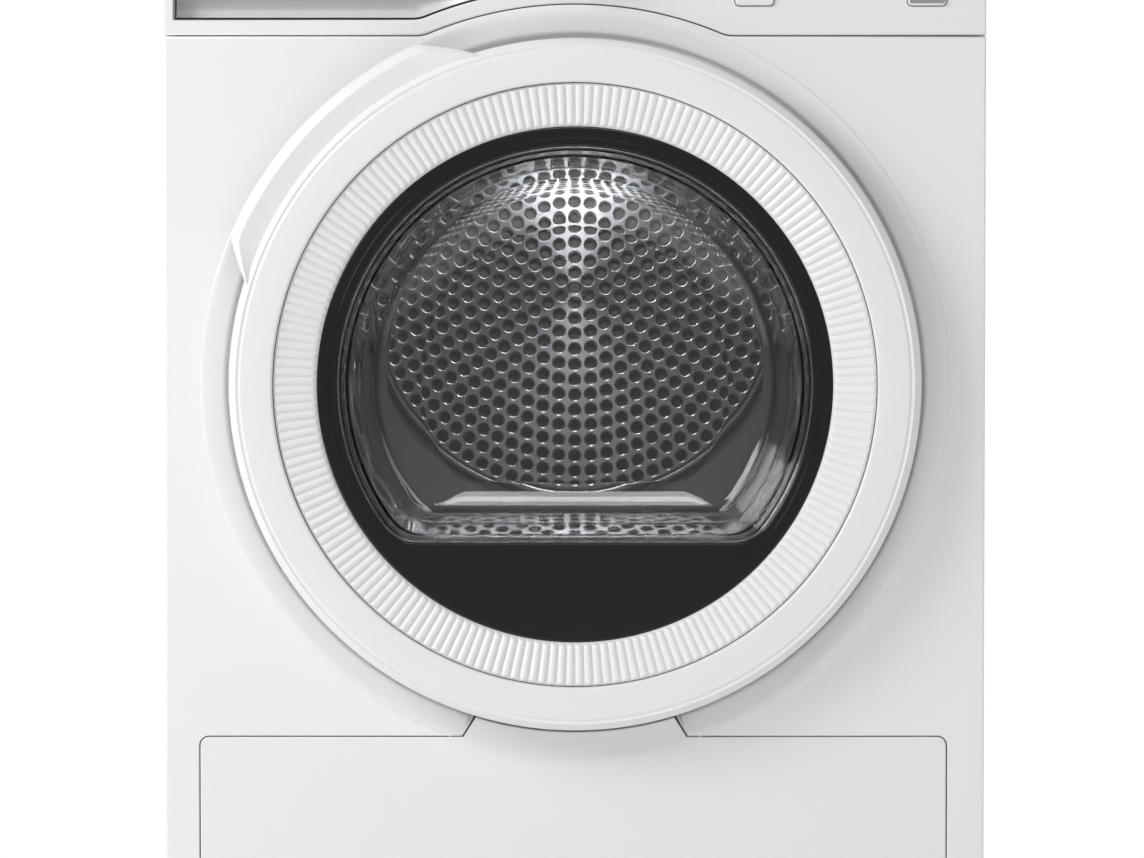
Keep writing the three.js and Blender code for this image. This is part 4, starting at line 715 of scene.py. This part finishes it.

# ---- Drum: shell, perforated rear disc, lifters ----
# Stainless sheet, all turning about the drum's own axis. The rear disc is brushed in circles and has rings
# of dimpled holes over a black sheet, which is painted shade that makes the holes read dark. The lifters are
# grey moulded ridges. A small lamp lights the drum.

disc_low, _ = corners_mm("drum_rear")
shell_low, shell_high = corners_mm("drum_shell")
DRUM_Z = (shell_low[2] + shell_high[2]) / 2
DRUM_CENTRE = (0.0, DRUM_Z)
DRUM_R = shell_high[0]
DRUM_FRONT, DRUM_BACK = shell_low[1], shell_high[1]
DRUM_SHEET = 1.5
DRUM_LIP_R = 262.0
DISC_R = 172.0
DISC_FACE = disc_low[1]
HOLE_RINGS = 13
HOLE_PITCH = 12.6
HOLE_R = 4.3
HOLES_ADDED = 6  # more in each ring than in the one inside it


SPIN_RING = 0.5  # mm between the rings that the brush leaves


def spun_steel(name, colour, roughness, turning=0.75):
    """Stainless sheet brushed in circles about the drum's axis: fine rings and stretched highlights."""
    material = bpy.data.materials.new(name)
    material.use_nodes = True
    tree = material.node_tree
    tree.nodes.clear()
    place = add(tree, "ShaderNodeTexCoord")
    apart = add(tree, "ShaderNodeSeparateXYZ", None, {"Vector": place.outputs["Object"]})
    level = add(tree, "ShaderNodeMath", {"operation": "SUBTRACT"}, {0: apart.outputs["Z"], 1: DRUM_Z * MM})
    from_axis = add(tree, "ShaderNodeCombineXYZ", None,
                    {"X": apart.outputs["X"], "Z": level.outputs["Value"]})
    radius = add(tree, "ShaderNodeVectorMath", {"operation": "LENGTH"}, {0: from_axis.outputs["Vector"]})
    along = add(tree, "ShaderNodeCombineXYZ", None,
                {"X": radius.outputs["Value"], "Y": apart.outputs["Y"]})
    rings = add(tree, "ShaderNodeTexNoise", None,
                {"Vector": along.outputs["Vector"], "Scale": 1 / (SPIN_RING * 2 * MM), "Detail": 3.0})
    bump = add(tree, "ShaderNodeBump", None,
               {"Height": rings.outputs["Fac"], "Strength": 0.25, "Distance": 0.0002})
    sheen = add(tree, "ShaderNodeMapRange", None,
                {"Value": rings.outputs["Fac"], "To Min": roughness - 0.06, "To Max": roughness + 0.06})
    tangent = add(tree, "ShaderNodeTangent", {"direction_type": "RADIAL", "axis": "Y"})
    shader = add(tree, "ShaderNodeBsdfPrincipled", None, {
        "Base Color": linear(colour), "Metallic": 1.0, "Roughness": sheen.outputs["Result"],
        "Anisotropic": turning, "Anisotropic Rotation": 0.25,
        "Normal": bump.outputs["Normal"], "Tangent": tangent.outputs["Tangent"]})
    add(tree, "ShaderNodeOutputMaterial", None, {"Surface": shader.outputs["BSDF"]})
    return material


# The drum's stainless is greyer than bare steel: partly its own tone, partly painted shade for the dim inside
# of the drum. The shell is a darker copy of the disc's steel: painted shade.
disc_steel = spun_steel("circular_brushed_stainless", "#727376", 0.3)
shell_steel_painted_shade = spun_steel("drum_shell_stainless_painted_shade", "#5c5d60", 0.38, turning=0.5)
holes_in_ring = [max(HOLES_ADDED * ring, 1) for ring in range(HOLE_RINGS + 1)]
hole_turns = np.concatenate([np.linspace(0, 360, count, endpoint=False) + 90 for count in holes_in_ring])
hole_rings = np.repeat(np.arange(HOLE_RINGS + 1), holes_in_ring)
hole_x = HOLE_PITCH * hole_rings * np.cos(np.radians(hole_turns))
hole_z = DRUM_Z + HOLE_PITCH * hole_rings * np.sin(np.radians(hole_turns))
holes = [(arc(x, z, HOLE_R, 360, 30, 12), edge(1.5, 2.6, steps=4)[:5]) for x, z in zip(hole_x, hole_z)]
disc = pressing(
    "perforated_disc",
    [(arc(0, DRUM_Z, DISC_R, 0, 357.5, 144), edge(2.0, 4.0)[:6]), *holes],
    DISC_FACE, "drum", replaced=["drum_rear"], slot="drum_rear",
)
disc.data.materials.append(disc_steel)
rear_wall = turned("drum_rear_wall", rounded([
    (DISC_R - 3, DISC_FACE + 6, 0),
    (DISC_R, DISC_FACE + 4, 1),
    (DISC_R + 0.5, DISC_FACE - 1.5, 1.5),
    (DISC_R + 4.5, DISC_FACE - 1.5, 2),
    (DISC_R + 8, DISC_FACE + 12, 4),
    (DRUM_R - DRUM_SHEET - 14, DISC_FACE + 12, 12),
    (DRUM_R - DRUM_SHEET - 0.3, DISC_FACE + 4, 3),
    (DRUM_R - DRUM_SHEET - 0.3, DISC_FACE + 6, 0.4),
    (DRUM_R - DRUM_SHEET - 14, DISC_FACE + 14, 12),
    (DISC_R + 6, DISC_FACE + 14, 4),
    (DISC_R - 3, DISC_FACE + 7, 0),
])[::-1], "drum", centre=DRUM_CENTRE, slot="drum_rear")
rear_wall.data.materials.append(disc_steel)
# A black sheet set back behind the disc: painted shade, put there so that the holes read dark.
SHADE_SHEET_R = 168.0
SHADE_SHEET_SET_BACK = 11.0
shade_sheet = turned("painted_shade_sheet", rounded([
    (0.01, DISC_FACE + SHADE_SHEET_SET_BACK + 1.5, 0),
    (SHADE_SHEET_R, DISC_FACE + SHADE_SHEET_SET_BACK + 1.5, 0.5),
    (SHADE_SHEET_R, DISC_FACE + SHADE_SHEET_SET_BACK, 0.5),
    (0.01, DISC_FACE + SHADE_SHEET_SET_BACK, 0),
])[::-1], "drum", centre=DRUM_CENTRE, closed=False, slot="drum_rear")
shade_sheet.data.materials.append(moulded("black_painted_shade", "#121212", 0.5, grain=0.6, relief=0.15))
shell = turned("drum_shell_skin", rounded([
    (DRUM_LIP_R, DRUM_FRONT, 0),
    (DRUM_LIP_R, DRUM_FRONT + DRUM_SHEET, 0.7),
    (DRUM_R - DRUM_SHEET, DRUM_FRONT + DRUM_SHEET, 6),
    (DRUM_R - DRUM_SHEET, DRUM_BACK, 0.5),
    (DRUM_R, DRUM_BACK, 0.5),
    (DRUM_R, DRUM_FRONT, 6),
    (DRUM_LIP_R, DRUM_FRONT, 0.5),
]), "drum", centre=DRUM_CENTRE, replaced=["drum_shell"], slot="drum_shell")
shell.data.materials.append(shell_steel_painted_shade)

LIFTER_HEIGHT, LIFTER_BASE = 48.0, 48.0
LIFTER_ROWS, LIFTER_COLUMNS = 60, 33
lifter_low, lifter_high = corners_mm("drum_lifter_1")
foot_r = math.sqrt((DRUM_R - DRUM_SHEET) ** 2 - (LIFTER_BASE / 2) ** 2)
section_x = np.linspace(-1, 1, LIFTER_COLUMNS)
section_rise = LIFTER_HEIGHT * (0.5 + 0.5 * np.cos(math.pi * np.abs(section_x))) ** 0.8
length_y = np.linspace(0, 1, LIFTER_ROWS)
end_fall = np.sqrt(np.clip(1 - np.abs(2 * length_y - 1) ** 14, 0, 1))
lifter_x = np.broadcast_to(section_x * LIFTER_BASE / 2, (LIFTER_ROWS, LIFTER_COLUMNS))
lifter_y = (lifter_low[1] + (lifter_high[1] - lifter_low[1]) * length_y)[:, None]
lifter_y = np.broadcast_to(lifter_y, (LIFTER_ROWS, LIFTER_COLUMNS))
lifter_z = -foot_r + section_rise[None, :] * end_fall[:, None]
lifter_plan = np.stack([lifter_x, lifter_y, lifter_z], axis=-1).reshape(-1, 3)
for index in range(3):
    turn = math.radians(120 * index)
    spin = np.array([[math.cos(turn), 0, math.sin(turn)], [0, 1, 0], [-math.sin(turn), 0, math.cos(turn)]])
    points = lifter_plan @ spin.T + [0, 0, DRUM_Z]
    node = f"drum_lifter_{index + 1}"
    lifter = make(node + "_ridge", points, grid_faces(LIFTER_ROWS, LIFTER_COLUMNS), True, "drum",
                  replaced=[node], slot="drum_lifter")
    lifter.data.materials.append(grey_moulding)

drum_lamp = bpy.data.lights.new("drum_lamp", "AREA")
drum_lamp.shape = "RECTANGLE"
drum_lamp.size, drum_lamp.size_y = 0.16, 0.05
drum_lamp.energy = 1.8
lamp = bpy.data.objects.new("drum_lamp", drum_lamp)
lamp.location = (0.0, -0.19, 0.70)
lamp.rotation_euler = (Vector((0.0, 0.249, 0.60)) - lamp.location).to_track_quat("-Z", "Y").to_euler()
scene.collection.objects.link(lamp)

# ---- Console: fascia, water tank drawer, display, buttons and programme knob ----
# White mouldings with rounded edges. The drawer's face hangs in front of a finger scoop, and the fascia
# keeps a white lip below it. The display is a smoked lens, the knob turned metal with a knurled side.

LIP = 12.0
drawer_low, drawer_high = corners_mm("water_tank_front")
DRAWER_FACE_Z = CONSOLE_Z + 29.0
SCOOP_DEPTH = 18.0
SCOOP_COLUMNS = 160
DRAWER_LEFT, DRAWER_RIGHT = drawer_low[0], drawer_high[0]
CONSOLE_TOP = console_high[2]


def drawer_loop(grow, bottom=None):
    """Outline of the drawer, anticlockwise: its lower side runs 12 mm above the console's seam."""
    left, right, top = DRAWER_LEFT - grow, DRAWER_RIGHT + grow, drawer_high[2] + grow
    seam = console_seam(LIP - grow, left, HALF_WIDTH)
    seam = seam[seam[:, 0] < right]
    if bottom is not None:
        seam = np.column_stack([seam[:, 0], np.maximum(seam[:, 1], bottom)])
    end_z = DOOR_Z + math.sqrt((ARCH_R + LIP - grow) ** 2 - right**2)
    return np.vstack([seam, [[right, end_z]], [[right, top], [left, top]]])


display_low, display_high = corners_mm("display_lens")
display_loop = corner_box(display_low[0], display_low[2], display_high[0], display_high[2], 3.0)
power_low, power_high = corners_mm("power_button")
start_low, start_high = corners_mm("start_button")
gap = SEAM / 2
power_hole = corner_box(power_low[0] - gap, power_low[2] - gap, power_high[0] + gap, power_high[2] + gap, 3.6)
start_hole = corner_box(start_low[0] - gap, start_low[2] - gap, start_high[0] + gap, start_high[2] + gap, 3.6)
knob_low, knob_high = corners_mm("program_knob")
KNOB_Z = (knob_low[2] + knob_high[2]) / 2
knob_hole = arc(0, KNOB_Z, 8.0, 0, 345, 24)
seam_bottom = console_seam(VISIBLE_SEAM - SEAM, -HALF_WIDTH, HALF_WIDTH)
fascia_loop = np.vstack([seam_bottom, [[HALF_WIDTH, CONSOLE_TOP], [-HALF_WIDTH, CONSOLE_TOP]]])
plate(
    "console_fascia_moulding", fascia_loop, FACE_Y, console_high[1], 1.6, "cabinet", white_moulding,
    wall=MOULDING_WALL,
    holes=[
        (drawer_loop(SEAM)[::-1], 1.6, 8.0),
        (display_loop[::-1], 0.4, 4.0),
        (power_hole[::-1], 0.8, 6.0),
        (start_hole[::-1], 0.8, 6.0),
        (knob_hole[::-1], 0.5, 6.0),
    ],
    replaced=["console_fascia"], slot="console_fascia",
)
plate(
    "tank_drawer_face", drawer_loop(0.0, DRAWER_FACE_Z), FACE_Y, FACE_Y + 3.2, 1.4,
    "tank_drawer", white_moulding,
    replaced=["water_tank_front"], slot="water_tank_front",
)
scoop_x = np.linspace(DRAWER_LEFT, DRAWER_RIGHT, SCOOP_COLUMNS)
seam_line = console_seam(LIP, DRAWER_LEFT - 5, HALF_WIDTH)
scoop_floor = np.interp(scoop_x, seam_line[:, 0], seam_line[:, 1]) + 0.3
fade = np.clip((scoop_x + 120) / 48, 0, 1)
scoop_deep = SCOOP_DEPTH - (SCOOP_DEPTH - 1.0) * fade**2 * (3 - 2 * fade)
scoop_section = rounded([(1.0, 1.0, 0), (0.0, 1.0, 0.1), (0.0, 0.0, 0.3), (1.0, 0.0, 0)], steps=10)
scoop_top = DRAWER_FACE_Z + 26.0
scoop_y = FACE_Y + 1.6 + scoop_deep[:, None] * (1 - scoop_section[:, 0])
scoop_z = scoop_floor[:, None] + (scoop_top - scoop_floor)[:, None] * scoop_section[:, 1]
scoop_xs = np.broadcast_to(scoop_x[:, None], scoop_y.shape)
scoop_points = np.stack([scoop_xs, scoop_y, scoop_z], axis=-1)
scoop_points[..., 2] = np.minimum(scoop_points[..., 2], drawer_high[2])
scoop = make("tank_drawer_scoop", scoop_points.reshape(-1, 3),
             grid_faces(SCOOP_COLUMNS, scoop_y.shape[1]), True, "tank_drawer", slot="water_tank_front")
scoop.data.materials.append(white_moulding)

smoked = moulded("smoked_display_lens", "#0d0f12", 0.08, grain=0.15, relief=0.02, patchy=0.01)
box_plate("display_lens", smoked, "cabinet", 3.0, 0.5)
box_plate("power_button", white_moulding, "power_key", 3.0, 1.6)
box_plate("start_button", white_moulding, "start_key", 3.0, 1.6)
grey_lens = moulded("grey_indicator_lens", "#9b9b9f", 0.3)
start_face = start_low[1] - 0.35
BAND_INSET = 1.2
for name, low_z, high_z in (("start_band_upper", 6.6, 10.4), ("start_band_lower", 1.6, 5.4)):
    band = corner_box(start_low[0] + BAND_INSET, start_low[2] + low_z,
                      start_high[0] - BAND_INSET, start_low[2] + high_z, BAND_INSET)
    plate(name, band, start_face, start_face + 2.0, 0.3, "start_key", grey_lens, slot="start_button")

KNOB_R = 25.0
KNOB_FLUTES = 60
knob_profile = rounded([
    (0.01, knob_low[1] + 0.4, 0),
    (18.0, knob_low[1] + 0.4, 3),
    (20.5, knob_low[1], 1.5),
    (KNOB_R, knob_low[1], 2.2),
    (KNOB_R, FACE_Y - 5, 0.8),
    (KNOB_R + 3, FACE_Y - 4.4, 0.8),
    (KNOB_R + 3, FACE_Y - 1, 0.5),
    (8.0, FACE_Y - 1, 0.3),
    (4.0, FACE_Y - 1, 0.3),
    (4.0, knob_high[1], 0.3),
    (0.01, knob_high[1], 0),
])
knob_turns = np.linspace(0, 360, KNOB_FLUTES * 8, endpoint=False)
on_side = (knob_profile[:, 0] > KNOB_R - 0.3) & (knob_profile[:, 0] < KNOB_R + 0.2)
flute = 0.35 * np.abs(np.cos(np.radians(knob_turns) * KNOB_FLUTES / 2))
knob_r = knob_profile[:, 0] - flute[:, None] * on_side
knob_y = np.broadcast_to(knob_profile[:, 1], knob_r.shape)
turned_metal = moulded("satin_turned_metal", "#c9cacc", 0.28, grain=0.2, relief=0.1, metallic=1.0)
knob = turned("program_knob_turned", np.stack([knob_r, knob_y], axis=-1), "knob", centre=(0.0, KNOB_Z),
              angles=knob_turns, closed=False, replaced=["program_knob"], slot="program_knob")
knob.data.materials.append(turned_metal)

# ---- Rear, feet and the machinery inside: the frame's own solids with their real finishes ----
# Galvanised sheet at the back and the bulkhead, grey and black mouldings, painted motor and compressor,
# bare aluminium fins, rubber and felt. They are carried over as built and only take a material.


ZINC_ROUGHNESS = 0.42
SPANGLE = 9.0  # mm across one crystal


def galvanised(name, colour):
    """Hot-dip galvanised sheet: crystals, each with its own tone and gloss."""
    material = bpy.data.materials.new(name)
    material.use_nodes = True
    tree = material.node_tree
    tree.nodes.clear()
    place = add(tree, "ShaderNodeTexCoord")
    crystals = add(tree, "ShaderNodeTexVoronoi", {"feature": "F1"},
                   {"Vector": place.outputs["Object"], "Scale": 1 / (SPANGLE * MM), "Randomness": 1.0})
    tone = add(tree, "ShaderNodeSeparateColor", None, {"Color": crystals.outputs["Color"]})
    sheen = add(tree, "ShaderNodeMapRange", None,
                {
        "Value": tone.outputs["Red"], "To Min": ZINC_ROUGHNESS - 0.08, "To Max": ZINC_ROUGHNESS + 0.08})
    dark, light = linear(colour), tuple(min(1.0, channel * 1.22) for channel in linear(colour))
    shade = add(tree, "ShaderNodeMix", {"data_type": "RGBA"}, {"Factor": tone.outputs["Green"]})
    shade.inputs[6].default_value, shade.inputs[7].default_value = dark, light
    shader = add(tree, "ShaderNodeBsdfPrincipled", None, {
        "Base Color": shade.outputs[2], "Metallic": 1.0, "Roughness": sheen.outputs["Result"]})
    add(tree, "ShaderNodeOutputMaterial", None, {"Surface": shader.outputs["BSDF"]})
    return material


zinc_sheet = galvanised("galvanised_sheet", "#a9adb0")
zinc_plate = moulded("zinc_plated_steel", "#b4b7ba", 0.35, grain=0.3, relief=0.08, metallic=1.0)
bright_steel = moulded("brushed_stainless", "#c4c5c7", 0.25, grain=0.3, relief=0.1, metallic=1.0)
fins = moulded("mill_aluminium_fins", "#c3c6c8", 0.4, grain=0.5, relief=0.2, metallic=1.0)
dark_moulding = moulded("black_glass_filled_nylon", "#2b2c2e", 0.5)
recycled = moulded("dark_grey_recycled_pp", "#55585b", 0.55, grain=0.5, relief=0.2)
carried = {
    enamel: ["left_side_panel", "right_side_panel"],
    zinc_sheet: ["rear_panel", "front_bulkhead", "rear_duct_cover"],
    zinc_plate: ["hinge_bracket", "latch_hook", "drum_bearing", "motor_pulley", "idler_arm"],
    bright_steel: ["hinge_leaf"],
    fins: ["evaporator", "condenser"],
    grey_moulding: ["board_housing", "tank_guide", "filter_housing", "heat_exchanger_cover"],
    dark_moulding: ["knob_encoder", "latch_catch", "idler_pulley", "fan_housing", "cable_gland",
                    "cover_lever_left", "cover_lever_right"],
    recycled: ["base_tray"],
    rubber: ["drive_belt", "front_roller_left", "front_roller_right"],
    moulded("nylon_fan_wheel", "#d9d8d2", 0.45): ["fan_wheel"],
    moulded("blue_grey_pp_tank", "#a9b9c6", 0.35): ["water_tank"],
    moulded("blue_filter_frame", "#7f99ad", 0.4): ["lint_filter"],
    moulded("green_solder_mask", "#1f5a3a", 0.3, grain=0.4, relief=0.3): ["control_board"],
    moulded("grey_wool_felt", "#7c7a76", 0.95, grain=1.2, relief=0.9): ["drum_front_seal"],
    moulded("black_motor_paint", "#3a3c3f", 0.45, grain=0.8, relief=0.2): ["motor"],
    moulded("black_compressor_paint", "#17181a", 0.4, grain=0.8, relief=0.2): ["compressor"],
    # The end of the shaft shows through the middle of the rear disc; its black is painted shade, so the
    # centre hole reads dark and does not glint.
    moulded("shaft_painted_shade_black", "#1d1e20", 0.55, grain=0.3, relief=0.08): ["drum_shaft"],
    moulded("black_foot_nylon", "#222325", 0.5): [
        "foot_front_left", "foot_front_right", "foot_rear_left", "foot_rear_right"],
}
for finish, names in carried.items():
    for each in names:
        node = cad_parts[each]
        node.data.materials.clear()
        node.data.materials.append(finish)
